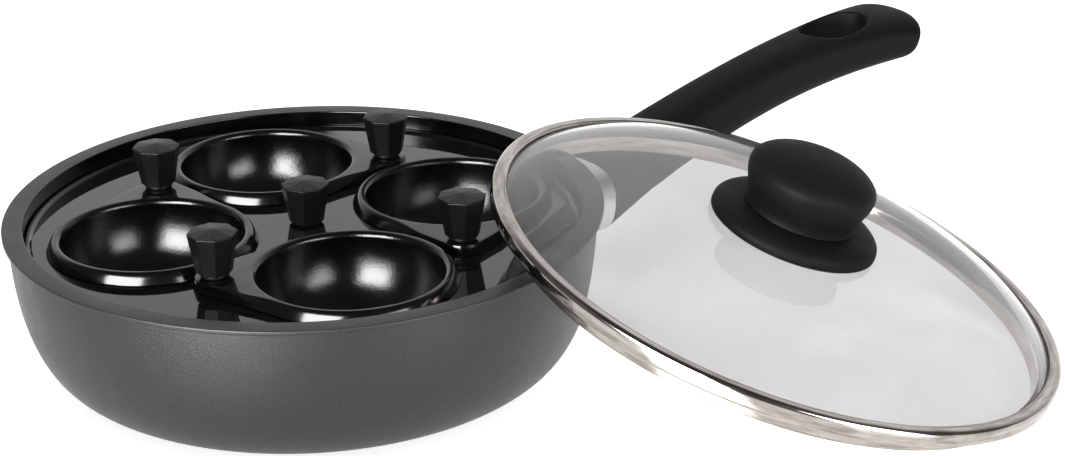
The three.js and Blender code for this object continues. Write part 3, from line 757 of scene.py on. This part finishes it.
@dataclass
class Pan(SubAssembly):
    """The pan's body: a rounded wall, a flat rim and a ledge that carries the plate.

    Attributes:
        rim_width: The flat rim's width.
        lip: The rim's thickness.
        rim_round: The rounding of the rim's edges.
        overhang: How far the rim stands out past the wall.
        wall: The wall's thickness.
        floor: The floor's thickness.
        spread: How much wider the wall is than the base.
        fullness: The wall's fullness, where 2 is a quarter ellipse.
        ledge_top: The ledge's height.
        ledge: The ledge's width, height and ramp.
        steps: Steps along the wall.
    """

    body: str = "pan"
    rim_width: float = 7.2
    lip: float = 1.6
    rim_round: float = 0.4
    overhang: float = 2.0
    wall: float = 3.0
    floor: float = 4.0
    spread: float = 21.0
    fullness: float = 2.2
    ledge_top: float = 45.45
    ledge: tuple[float, float, float] = (2.2, 2.0, 3.0)
    steps: int = 28

    def __post_init__(self) -> None:
        """Takes the rim's radius and the height from the frame."""
        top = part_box("pan_body")[1] / MM
        self.rim, self.height = top.x, top.z

    def wall_line(self, inset: float, bottom: float, top: float) -> list[Point]:
        """The wall's line from the base's edge up.

        Args:
            inset: How far inside the outer face it runs.
            bottom: Its lowest height.
            top: Its highest height.

        Returns:
            The line's points.
        """
        wall = self.rim - self.overhang - inset
        found = []
        for i in range(self.steps + 1):
            angle = math.pi / 2 * (1 - i / self.steps)
            out = math.cos(angle) ** (2 / self.fullness) if i else 0.0
            down = math.sin(angle) ** (2 / self.fullness) if i < self.steps else 0.0
            found.append((wall - self.spread * (1 - out), top - (top - bottom) * down))
        return found

    def build(self) -> None:
        """Builds the pan's body with its coated outside and its darker inside."""
        bore = self.rim - self.rim_width
        lip = self.height - self.lip
        width, rise, ramp = self.ledge
        inside = self.wall_line(self.wall, self.floor, self.ledge_top - rise - ramp)
        outline = Outline().to(0, 0).along(self.wall_line(0, 0, lip))
        outline.to(self.rim, lip, self.rim_round).to(self.rim, self.height, self.rim_round)
        outline.to(bore, self.height, self.rim_round).to(bore, self.ledge_top, 0.4)
        outline.to(bore - width, self.ledge_top, 0.5).to(bore - width, self.ledge_top - rise, 0.5)
        outline.along(reversed(inside)).to(0, self.floor)
        mesh = turned(outline, Fineness.LARGE)
        for face in mesh.faces:
            middle = face.calc_center_median() / MM
            level = face.normal.z > 0.5 and middle.z < self.height - self.rim_round
            face.material_index = int(level or face.normal.xy.dot(middle.xy) < -1e-6)
        self.add(mesh, "pan_body", COATING, INSIDE_GLOSS)

    def shadow(self, gap: float) -> BMesh:
        """The pan's outside, grown by a gap, for cutting what bears on it."""
        line = self.wall_line(-gap, 0, self.height - self.lip)
        return turned(Outline().to(0, 0).along(line).to(0, self.height - self.lip), Fineness.LARGE)


@dataclass
class Handle(SubAssembly):
    """The moulded handle with its hanging hole, the metal guard at its root, and what fixes them.

    Attributes:
        bearing: The handle's direction in degrees.
        guard: Where the guard starts and ends along the handle.
        guard_sheet: The guard's thickness.
        seat: The gap between pieces that bear on each other.
        root_height: The root's height.
        length: The handle's length.
        climbs: The heights of the spine's three later control points above the root.
        root: The root's half-width and half-height.
        grip: The same at the grip.
        end: The same at the end.
        nose: How much of the end is rounded off.
        bluntness: How much the end thins, from 0 for not at all.
        rake: The end's tilt in degrees, and the length over which it grows.
        fullness: The section's squareness.
        blend: The share of the length over which the section tilts to the spine.
        hole: The hanging hole's length, width and distance from the end.
        hole_lip: How much wider the hole is at its faces.
        screw: The screw's place along the handle, its clearance radius and its counterbore's.
        screw_seat: The height of the counterbore's end.
        socket: The length, width and height of the tongue's socket.
        runs: How many sections are along the handle, and how many round off its end.
        end_sweep: How much of the end's quarter turn is made, in degrees.
        facets: Points round the grip's section, and round the hole and the guard.
        voxel: The size of the skin's cells.
        softening: The factor and the rounds of the skin's smoothing.
    """

    body: str = "pan"
    bearing: float = 36.0
    guard: Point = (93.5, 126.0)
    guard_sheet: float = 1.2
    seat: float = 0.25
    root_height: float = 28.4
    length: float = 161.8
    climbs: tuple[float, float, float] = (22.4, 36.7, 36.2)
    root: Point = (18.5, 12.4)
    grip: Point = (11.8, 11.0)
    end: Point = (22.5, 9.5)
    nose: float = 9.0
    bluntness: float = 0.25
    rake: Point = (24.0, 30.0)
    fullness: float = 2.6
    blend: float = 0.15
    hole: tuple[float, float, float] = (30.5, 21.5, 18.5)
    hole_lip: float = 1.5
    screw: tuple[float, float, float] = (134.25, 2.25, 4.3)
    screw_seat: float = 23.1
    socket: tuple[float, float, float] = (23.0, 27.0, 8.0)
    runs: tuple[int, int] = (60, 16)
    end_sweep: float = 82.0
    facets: tuple[int, int] = (72, 96)
    voxel: float = 0.7
    softening: tuple[float, int] = (0.5, 8)

    def __post_init__(self) -> None:
        """Works out the frame that the handle is made in."""
        self.turn = Matrix.Rotation(math.radians(self.bearing), 4, "Z")
        self.start = self.guard[1] + self.seat

    def spine(self, t: float) -> tuple[Vector, float]:
        """The spine's place and slope.

        Args:
            t: How far along, from 0 to 1.

        Returns:
            The point along and up, and the slope as an angle.
        """
        heights = (0.0, *self.climbs)
        ends = [(self.start + self.length * i / 3, self.root_height + h) for i, h in enumerate(heights)]
        step = 1e-3
        ahead = cubic(ends, min(1.0, t + step)) - cubic(ends, max(0.0, t - step))
        return cubic(ends, t), math.atan2(ahead.y, ahead.x)

    def station(self, place: Vector, slope: float, half: Point) -> Matrix:
        """A section's matrix.

        Args:
            place: Its point along and up.
            slope: The spine's slope there.
            half: Its half-width and half-height.

        Returns:
            The matrix from a unit section in the XY plane.
        """
        upright = Matrix(((0, 0, 1, 0), (1, 0, 0, 0), (0, 1, 0, 0), (0, 0, 0, 1)))
        size = Matrix.Diagonal((half[0] * MM, half[1] * MM, 1, 1))
        spot = Matrix.Translation((place.x * MM, 0, place.y * MM))
        return spot @ Matrix.Rotation(-slope, 4, "Y") @ upright @ size

    def blank(self) -> BMesh:
        """The handle before it is cut.

        Returns:
            Its skin, in the handle's own frame.
        """
        straight = 1 - self.nose / self.length
        along_run, end_run = self.runs
        steps = [(straight * i / along_run, 1.0) for i in range(along_run + 1)]
        for i in range(1, end_run + 1):
            angle = math.radians(self.end_sweep * i / end_run)
            along = math.sin(angle) ** (2 / self.fullness)
            steps.append((straight + (1 - straight) * along, math.cos(angle) ** (2 / self.fullness)))
        stations = []
        for t, shrink in steps:
            place, slope = self.spine(t)
            tilt = math.radians(self.rake[0]) * max(0.0, 1 - (1 - t) * self.length / self.rake[1])
            half = cubic((self.root, self.grip, self.grip, self.end), t)
            size = (half.x * shrink, half.y * shrink ** self.bluntness)
            stations.append(self.station(place, slope * min(1.0, t / self.blend) - tilt, size))
        return lofted(stations, self.facets[0], self.fullness)

    def hanging_hole(self) -> BMesh:
        """The tool that cuts the hanging hole, wider at the handle's faces.

        Returns:
            The tool's mesh.
        """
        length, width, from_end = self.hole
        place, slope = self.spine(1 - (from_end + length / 2) / self.length)
        spot = Matrix.Translation((place.x * MM, 0, place.y * MM)) @ Matrix.Rotation(-slope, 4, "Y")
        face = self.end[1]
        stations = []
        for height in (-20.0, -face, -face * 0.8, -face * 0.5, face * 0.5, face * 0.8, face, 20.0):
            flare = self.hole_lip * max(0.0, abs(height) / face - 0.5)
            size = Matrix.Diagonal(((length / 2 + flare) * MM, (width / 2 + flare) * MM, 1, 1))
            stations.append(spot @ Matrix.Translation((0, 0, height * MM)) @ size)
        return lofted(stations, self.facets[1], 2.0)

    def fixing_tools(self) -> list[BMesh]:
        """The tools that cut the screw's counterbore and the tongue's socket.

        Returns:
            Their meshes.
        """
        along, clearance, head = self.screw
        outline = Outline().to(0, 0).to(head, 0).to(head, self.screw_seat).to(clearance, self.screw_seat)
        counterbore = turned(outline.to(clearance, self.root_height).to(0, self.root_height), Fineness.SMALL)
        length, width, height = self.socket
        place = Matrix.Translation((self.start * MM, 0, self.root_height * MM))
        socket = block((2 * length, width, height), place)
        return [moved(counterbore, Matrix.Translation((along * MM, 0, 0))), socket]

    def add_grip(self) -> None:
        """Adds the moulded handle, soft at every edge."""
        made = loose_object(cut(self.blank(), self.hanging_hole(), *self.fixing_tools()), "blank")
        remesh = made.modifiers.new("skin", "REMESH")
        remesh.mode = "VOXEL"
        remesh.voxel_size = self.voxel * MM
        smooth = made.modifiers.new("soften", "SMOOTH")
        smooth.factor, smooth.iterations = self.softening
        mesh = settled(made)
        clean(mesh)
        self.add(mesh, "handle", PLASTIC, place=self.turn, sharp=180.0)

    def add_guard(self, pan: Pan) -> None:
        """Adds the guard, cut to the pan's wall.

        Args:
            pan: The pan that it bears on.
        """
        skins = []
        for inset in (0.0, self.guard_sheet):
            half = (self.root[0] - inset, self.root[1] - inset)
            ends = (self.guard[0] - inset, self.guard[1] + inset)
            stations = [self.station(Vector((x, self.root_height)), 0.0, half) for x in ends]
            skins.append(lofted(stations, self.facets[1], self.fullness))
        tool = moved(pan.shadow(self.seat), self.turn.inverted())
        self.add(cut(skins[0], skins[1], tool), "flame_guard", GUARD_METAL, place=self.turn)

    def build(self, pan: Pan) -> None:
        """Builds the handle, the guard and the fastening.

        Args:
            pan: The pan that carries them.
        """
        self.add_grip()
        self.add_guard(pan)
        self.dress("handle_bracket", STEEL)
        self.dress("handle_screw", STEEL)
        self.dress("handle_screw_washer", STEEL)


@dataclass
class PoachingPlate(SubAssembly):
    """The sheet plate with holes for the cups, a raised edge and a knob in its middle.

    Attributes:
        top: The plate's height.
        sheet: Its thickness.
        edge: The raised edge's width and rise.
        holes: The radius of the cups' holes.
        circle: The radius of the circle that the cups stand on.
        bearing: The first cup's direction in degrees.
        screw_hole: The radius of the hole in its middle.
        hole_steps: Steps round the hole in its middle, and round a cup's hole.
    """

    body: str = "plate"
    top: float = 47.1
    sheet: float = 1.4
    edge: Point = (1.3, 0.9)
    holes: float = 33.0
    circle: float = 55.296
    bearing: float = 20.7
    screw_hole: float = 1.75
    hole_steps: tuple[int, int] = (32, 128)

    def cup_spot(self, index: int) -> Vector:
        """The place of a cup's axis on the plate's top."""
        angle = math.radians(self.bearing + 90 * index)
        return Vector((self.circle * math.cos(angle), self.circle * math.sin(angle), self.top)) * MM

    def build(self) -> None:
        """Builds the plate and its knob."""
        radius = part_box("poaching_plate")[1].x / MM
        width, rise = self.edge
        flat = radius - width - rise
        mesh = bmesh.new()
        middle = Matrix.Translation((0, 0, self.top * MM))
        rims = [(middle, flat, Fineness.LARGE.value), (middle, self.screw_hole, self.hole_steps[0])]
        rims += [(Matrix.Translation(self.cup_spot(i)), self.holes, self.hole_steps[1]) for i in range(4)]
        loops = []
        for place, size, segments in rims:
            made = bmesh.ops.create_circle(mesh, cap_ends=False, segments=segments, radius=size * MM, matrix=place)
            loops.append(list({edge for vert in made["verts"] for edge in vert.link_edges}))
        bmesh.ops.triangle_fill(mesh, use_beauty=True, edges=mesh.edges, normal=(0, 0, 1))
        ring = loops[0]
        before = Vector((flat, 0.0))
        section = Outline().to(flat, 0).to(radius - width, rise, 0.5).to(radius, rise, 0.6)
        for after in section.to(radius, -self.sheet).points(False)[1:]:
            size = after[0] / before.x
            lift = Matrix.Translation((0, 0, (after[1] - before.y) * MM))
            ring = pushed(mesh, ring, lift @ Matrix.Diagonal((size, size, 1, 1)))
            before = Vector(after)
        drop = Matrix.Translation((0, 0, -self.sheet * MM))
        under = list(ring)
        for loop in loops[1:]:
            under += pushed(mesh, loop, drop)
        bmesh.ops.triangle_fill(mesh, use_beauty=True, edges=under, normal=(0, 0, -1))
        clean(mesh)
        self.add(mesh, "poaching_plate", PLATE_GLOSS)
        SidedKnob(self.body).build("plate_knob", middle, self.sheet)


@dataclass
class EggCup(SubAssembly):
    """A pressed cup with a down-turned rim that runs out into a teardrop tab, and its knob.

    Attributes:
        opening: The opening's radius.
        rim: The rim's outer radius.
        rise: The rim's height above the plate.
        bend: The width of the rim's turned-down outside.
        flank: The pull of the outside's curve at its two ends, and the lower pull's height.
        mouth: The rounding of the opening's edge.
        tab_rise: The tab's height above the plate.
        tab_bend: The width of the tab's turned-down outside.
        tab_run: How far the rim is drawn out before it is all tab.
        crowding: How far the steps round the cup crowd towards the tab, in radians.
        grain_edge: How far the grained inside reaches past the opening.
        depth: The cup's depth.
        bottom: The radius of its flat bottom.
        sheet: The sheet's thickness.
        seat: The gap between the rim and the plate.
        knob_reach: The distance from the cup's axis to its knob's.
        pad: The radius of the tab's round end.
        knob_turn: The knob's turn in degrees from the tab's line.
        spacer: The thickness of the washer under the knob.
    """

    opening: float = 31.5
    rim: float = 36.7
    rise: float = 4.3
    bend: float = 3.0
    flank: Point = (1.1, 2.6)
    mouth: float = 2.0
    tab_rise: float = 4.0
    tab_bend: float = 1.0
    tab_run: float = 6.0
    crowding: float = 0.6
    grain_edge: float = 0.4
    depth: float = 26.0
    bottom: float = 14.0
    sheet: float = 1.0
    seat: float = 0.25
    knob_reach: float = 45.16
    pad: float = 7.46
    knob_turn: float = 7.45
    spacer: float = 1.5

    def reach(self, angle: float) -> float:
        """How far the rim's edge is from the cup's axis.

        Args:
            angle: The direction from the tab's line, in radians.

        Returns:
            The distance in millimetres.
        """
        angle = abs(angle)
        tangent = math.acos((self.rim - self.pad) / self.knob_reach)
        if angle >= tangent:
            return self.rim
        tip = math.atan2(self.pad * math.sin(tangent), self.knob_reach + self.pad * math.cos(tangent))
        if angle >= tip:
            return self.rim / math.cos(tangent - angle)
        across = self.knob_reach * math.sin(angle)
        return self.knob_reach * math.cos(angle) + math.sqrt(self.pad ** 2 - across ** 2)

    def bowl(self) -> BMesh:
        """The turned cup with its rim, before the tab is drawn out.

        Returns:
            The mesh about the cup's axis, on the plate's top.
        """
        under = self.rise - self.sheet
        crest = self.rim - self.bend
        shelf = self.opening + self.mouth
        start = self.rise - self.mouth
        swell = self.opening - self.bottom
        pull, low = self.flank
        flank = ((crest, self.rise), (crest + pull, self.rise), (self.rim - pull, low), (self.rim, self.seat))
        inside = [(radius - self.sheet * min(1.0, i), height - self.sheet * (i < 3))
                  for i, (radius, height) in enumerate(flank)]
        outline = Outline(steps=6).to(0, under - self.depth)
        outline.along(arc((self.bottom, under), (swell + self.sheet, self.depth), -90, 0, 24))
        outline.along((shelf + (crest - shelf) * i / 8, under) for i in range(8))
        outline.along(tuple(cubic(inside, i / 10)) for i in range(10))
        outline.to(self.rim - self.sheet, self.seat, 0.3).to(self.rim, self.seat, 0.4)
        outline.along(tuple(cubic(flank, 1 - i / 16)) for i in range(1, 17))
        outline.along((crest + (shelf - crest) * i / 8, self.rise) for i in range(1, 8))
        outline.along(arc((shelf, start), (self.mouth, self.mouth), 90, 180, 10))
        wall = arc((self.bottom, start), (swell, self.depth - self.mouth), 0, -90, 32)
        outline.along(wall[1:]).to(0, self.rise - self.depth)
        return turned(outline, Fineness.LARGE)

    def draw_tab(self, mesh: BMesh) -> None:
        """Draws the rim out into the tab, along +X.

        Args:
            mesh: The turned cup.
        """
        shelf = self.opening + self.mouth
        crest = self.rim - self.bend
        full = self.rise - self.seat
        for vert in mesh.verts:
            flat = vert.co.xy / MM
            height = vert.co.z / MM
            angle = math.atan2(flat.y, flat.x)
            angle -= self.crowding * math.sin(angle)
            weight = min(1.0, max(0.0, (flat.length - shelf) / (crest - shelf)))
            drawn = self.reach(angle) - self.rim
            ease = min(1.0, drawn / self.tab_run)
            ease = weight * ease * ease * (3 - 2 * ease)
            share = 1 - ease * (self.rise - self.tab_rise) / full
            steepened = (self.bend - self.tab_bend) * min(1.0, (self.rim - flat.length) / self.bend)
            radius = flat.length + weight * drawn + ease * steepened
            height = self.seat + (height - self.seat) * share
            vert.co = Vector((radius * math.cos(angle), radius * math.sin(angle), height)) * MM

    def build(self, name: str, spot: Vector, bearing: float) -> None:
        """Builds the cup and its knob.

        Args:
            name: Which cup.
            spot: The cup's axis on the plate's top.
            bearing: The tab's direction in radians.
        """
        place = Matrix.Translation(spot) @ Matrix.Rotation(bearing, 4, "Z")
        mesh = self.bowl()
        inside = (self.opening + self.grain_edge) * MM
        for face in mesh.faces:
            face.material_index = int(face.calc_center_median().xy.length < inside)
        self.draw_tab(mesh)
        clean(mesh)
        self.add(mesh, f"egg_cup_{name}", RIM_GLOSS, CUP_GRAIN, place=place)
        pad = Matrix.Translation((self.knob_reach * MM, 0, self.tab_rise * MM))
        turn = Matrix.Rotation(math.radians(self.knob_turn), 4, "Z")
        knob = SidedKnob(self.body, spacer=self.spacer)
        knob.build(f"cup_knob_{name}", place @ pad @ turn, self.sheet)


@dataclass
class Lid(SubAssembly):
    """The leaning lid: glass in a steel band, with a skirted knob.

    Attributes:
        band: The band's outer radius.
        skirt: The radius of the skirt below it.
        sheet: The band's thickness.
        channel: The depth of the channel that holds the glass.
        drop: The skirt's depth.
        lip: The width of the lip over the glass.
        lip_fold: The lip's last corners: distance from its edge, height and fillet.
        bead: The rounding of the band's top.
        seat: The gap between pieces that bear on each other.
        glass: The glass's thickness.
        glass_rise: The rise of its dome.
        fullness: The dome's fullness.
        glass_hole: The radius of its hole.
        knob_skirt: The knob skirt's radius, edge, rise and wall.
        neck: The knob's radius where it meets its skirt.
        waist: The knob's waist radius and height.
        bulb: The knob's widest radius, the height of it and the whole height.
        knob_bore: The radius of the screw's hole in the knob's skirt.
        gasket: The gasket's thickness.
    """

    body: str = "lid"
    band: float = 103.95
    skirt: float = 96.6
    sheet: float = 0.7
    channel: float = 5.8
    drop: float = 12.0
    lip: float = 4.6
    lip_fold: tuple[tuple[float, float, float], ...] = ((1.1, 0.0, 0.7), (0.5, -0.4, 0.25), (0.0, -0.3, 0.2))
    bead: float = 1.7
    seat: float = 0.25
    glass: float = 3.0
    glass_rise: float = 13.6
    fullness: float = 5.5
    glass_hole: float = 4.0
    knob_skirt: tuple[float, float, float, float] = (30.0, 1.6, 6.5, 3.0)
    neck: float = 20.0
    waist: Point = (18.8, 3.6)
    bulb: tuple[float, float, float] = (22.8, 13.0, 21.9)
    knob_bore: float = 2.5
    gasket: float = 0.8

    def __post_init__(self) -> None:
        """Takes the lid's place from the band and the insert in the frame."""
        points = [vert.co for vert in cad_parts["lid_band"].data.vertices]
        middle = sum(points, Vector()) / len(points)
        core = [vert.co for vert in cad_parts["lid_knob_insert"].data.vertices]
        axis = (sum(core, Vector()) / len(core) - middle).normalized()
        lowest = min(axis.dot(point - middle) for point in points)
        origin = middle + axis * (lowest + self.drop * MM)
        bearing, lean = math.atan2(axis.y, axis.x), math.acos(axis.z)
        turn = Matrix.Rotation(bearing, 4, "Z") @ Matrix.Rotation(lean, 4, "Y")
        self.place = Matrix.Translation(origin) @ turn
        self.glass_top = -self.sheet - self.seat
        self.dome_edge = self.band - self.lip - self.seat
        self.skirt_bottom = self.dome(self.knob_skirt[0] - self.knob_skirt[3]) + self.seat
        self.skirt_top = self.skirt_bottom + self.knob_skirt[2]

    def dome(self, radius: float) -> float:
        """The height of the glass's outer face at a radius."""
        return self.glass_top + self.glass_rise * (1 - (radius / self.dome_edge) ** self.fullness)

    def band_finish(self) -> Finish:
        """The band's polished steel, with streaks that run round it: polish marks together with painted reflection
        bands of darker and lighter steel.

        Returns:
            The finish, lined up with the lid.
        """
        # Darker and lighter steel mixed by the streaks: polish marks together with painted reflection bands.
        return Finish(
            "polished_band_steel", "steel", (grey(0.26, 0.1), grey(0.48, 0.07)), Effect.STREAKS, 16.0, (0.07, 0.14),
            relief=0.002, grain_size=4.0, constants=(("Metallic", 1.0),),
            place=(tuple(self.place.translation), tuple(self.place.to_euler())),
        )

    def add_band(self) -> None:
        """Adds the band, one folded sheet."""
        inner = self.skirt - self.sheet
        outline = Outline().to(inner, -self.drop, 0.3).to(self.skirt, -self.drop, 0.3)
        outline.to(self.skirt, -self.channel, 0.6).to(self.band, -self.channel, 1.0)
        outline.to(self.band, 0, self.bead)
        edge = self.band - self.lip
        for inset, height, fillet in self.lip_fold:
            outline.to(edge + inset, height, fillet)
        outline.to(edge, -self.sheet, 0.1).to(self.band - self.sheet, -self.sheet, 0.8)
        outline.to(self.band - self.sheet, self.sheet - self.channel, 0.4)
        outline.to(inner, self.sheet - self.channel, 1.0)
        self.add(turned(outline, Fineness.LARGE, closed=True), "lid_band", self.band_finish(), place=self.place)

    def add_glass(self) -> None:
        """Adds the domed glass, its edge ground round inside the band."""
        edge = self.band - self.sheet - self.seat
        radii = [self.glass_hole + (self.dome_edge - self.glass_hole) * math.sin(math.pi * i / 96) for i in range(49)]
        outside = [(radius, self.dome(radius)) for radius in reversed(radii)]
        inside = [(radius, self.dome(radius) - self.glass) for radius in radii]
        outline = Outline().along(inside).to(edge, self.glass_top - self.glass, 1.2)
        outline.to(edge, self.glass_top, 1.2).along(outside)
        self.add(turned(outline, Fineness.LARGE, closed=True), "lid_glass", GLASS, place=self.place)

    def add_knob(self) -> None:
        """Adds the knob: its skirt, and the bulb above it."""
        wide, edge, rise, wall = self.knob_skirt
        floor = self.dome(self.glass_hole) + 2 * self.seat + self.gasket
        bottom = self.skirt_bottom
        outline = Outline().to(self.knob_bore, floor).to(wide - wall, floor, 0.5).to(wide - wall, bottom, 0.3)
        outline.to(wide, bottom, 0.4).to(wide, bottom + edge, 0.5)
        outline.along(arc((self.neck, bottom + edge), (wide - self.neck, rise - edge), 12, 90, 20))
        outline.to(self.knob_bore, self.skirt_top)
        self.add(turned(outline, Fineness.MEDIUM, closed=True), "lid_knob_skirt", PLASTIC, place=self.place)
        base = self.skirt_top + self.seat
        widest, equator, height = self.bulb
        ends = ((self.neck, base), (self.waist[0], base + self.waist[1]))
        ends += ((widest, base + 0.6 * equator), (widest, base + equator))
        outline = Outline().to(0, base).along(tuple(cubic(ends, i / 24)) for i in range(25))
        outline.along(arc((0, base + equator), (widest, height - equator), 0, 90, 36)[1:])
        self.add(turned(outline, Fineness.MEDIUM), "lid_knob_top", PLASTIC, place=self.place)

    def build(self) -> None:
        """Builds the lid's pieces."""
        self.add_band()
        self.add_glass()
        self.add_knob()
        self.dress("lid_gasket", SILICONE)
        self.dress("lid_knob_insert", BRASS)
        self.dress("lid_knob_washer", STEEL)
        self.dress("lid_knob_screw", STEEL)


@dataclass(frozen=True)
class Softbox:
    """An oblong lamp that faces the part.

    Attributes:
        bearing: Its bearing from the view, in degrees to the right.
        height: Its height angle in degrees.
        distance: Its distance from the target.
        size: Its width and height.
        radiance: Its brightness.
        shine: What it lights.
    """

    bearing: float
    height: float
    distance: float
    size: Point
    radiance: float
    shine: Shine

    def build(self, target: Vector) -> None:
        """Hangs the lamp.

        Args:
            target: What it faces.
        """
        a, e = math.radians(self.bearing), math.radians(self.height)
        way = Vector((math.sin(a) * math.cos(e), -math.cos(a) * math.cos(e), math.sin(e)))
        data = bpy.data.lights.new("softbox", "AREA")
        data.shape = "RECTANGLE"
        data.size, data.size_y = self.size
        data.energy = self.radiance * math.pi * self.size[0] * self.size[1]
        lamp = bpy.data.objects.new("softbox", data)
        lamp.location = target + way * self.distance
        lamp.rotation_mode = "QUATERNION"
        lamp.rotation_quaternion = way.to_track_quat("Z", "Y")
        lamp.visible_diffuse = self.shine is Shine.SPREAD
        lamp.visible_glossy = self.shine is Shine.REFLECTED
        bpy.context.scene.collection.objects.link(lamp)


@dataclass
class Studio:
    """A pale floor, soft lights and the camera.

    Attributes:
        camera: The camera's place.
        down: How far it looks down, in degrees.
        roll: Its roll in degrees.
        lens: Its focal length on a 36 mm sensor.
        floor: The floor's radius.
        target: What the lamps face.
        lamps: The lamps.
        sky: The backdrop's brightness by the sine of the height.
        front: How bright the surroundings behind the camera are beside the backdrop.
        fade: Where the surroundings start and stop brightening, by the sine of the angle to the back.
    """

    camera: tuple[float, float, float] = (0.0804, -0.7467, 0.3540)
    down: float = 22.53
    roll: float = -0.38
    lens: float = 36 * 2266 / 1065
    floor: float = 6.0
    target: tuple[float, float, float] = (0.0, 0.0, 0.05)
    lamps: tuple[Softbox, ...] = (
        Softbox(-27.0, 19.0, 1.5, (0.97, 1.03), 30.0, Shine.REFLECTED),
        Softbox(48.5, 15.5, 1.5, (0.83, 0.8), 10.0, Shine.REFLECTED),
        Softbox(0.0, 90.0, 3.0, (4.0, 4.0), 1.1, Shine.SPREAD),
    )
    sky: tuple[Point, ...] = ((0.0, 1.0), (0.7, 1.0), (0.9, 0.6), (1.0, 0.4))
    front: float = 0.14
    fade: Point = (0.3, 0.8)

    def build(self) -> None:
        """Builds the studio."""
        bpy.context.scene.view_settings.view_transform = "Standard"
        self.add_floor()
        self.add_sky()
        for lamp in self.lamps:
            lamp.build(Vector(self.target))
        self.add_camera()

    def add_floor(self) -> None:
        """Lays the floor."""
        mesh = bmesh.new()
        bmesh.ops.create_circle(mesh, cap_ends=True, segments=64, radius=self.floor)
        floor = loose_object(mesh, "floor")
        floor.data.materials.append(FLOOR.material())

    def add_sky(self) -> None:
        """Makes the surroundings bright low behind the part, darker overhead and dark in front."""
        world = bpy.data.worlds.new("studio")
        bpy.context.scene.world = world
        world.use_nodes = True
        world.node_tree.nodes.clear()
        sketch = Sketch(world.node_tree)
        way = sketch.node("ShaderNodeTexCoord").outputs["Generated"]
        parts = sketch.node("ShaderNodeSeparateXYZ", {"Vector": way})
        ramp = sketch.node("ShaderNodeValToRGB", {"Fac": parts.outputs["Z"]})
        stops = ramp.color_ramp.elements
        while len(stops) < len(self.sky):
            stops.new(1.0)
        for stop, (height, level) in zip(stops, self.sky):
            stop.position = height
            stop.color = grey(level)
        behind = sketch.spread(parts.outputs["Y"], (self.fade[0], self.front), (self.fade[1], 1.0))
        glow = sketch.node("ShaderNodeBackground", {"Color": ramp.outputs["Color"], "Strength": behind})
        sketch.node("ShaderNodeOutputWorld", {"Surface": glow.outputs[0]})

    def add_camera(self) -> None:
        """Sets the camera up."""
        data = bpy.data.cameras.new("camera")
        data.sensor_fit = "HORIZONTAL"
        data.sensor_width = 36.0
        data.lens = self.lens
        camera = bpy.data.objects.new("camera", data)
        pitch = Matrix.Rotation(math.radians(90 - self.down), 4, "X")
        turn = pitch @ Matrix.Rotation(math.radians(self.roll), 4, "Z")
        camera.matrix_world = Matrix.Translation(self.camera) @ turn
        bpy.context.scene.collection.objects.link(camera)
        bpy.context.scene.camera = camera


def main() -> None:
    """Builds the studio and every sub-assembly in order."""
    logging.basicConfig(level=logging.INFO, format="%(message)s")
    Studio().build()
    pan = Pan()
    pan.build()
    Handle().build(pan)
    plate = PoachingPlate()
    plate.build()
    for index, name in enumerate(("right", "back", "left", "front")):
        spot = plate.cup_spot(index)
        low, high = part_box(f"cup_knob_{name}_washer")
        tab = (low + high) / 2 - spot
        EggCup(f"cup_{name}").build(name, spot, math.atan2(tab.y, tab.x))
    Lid().build()


if __name__ == "__main__":
    main()
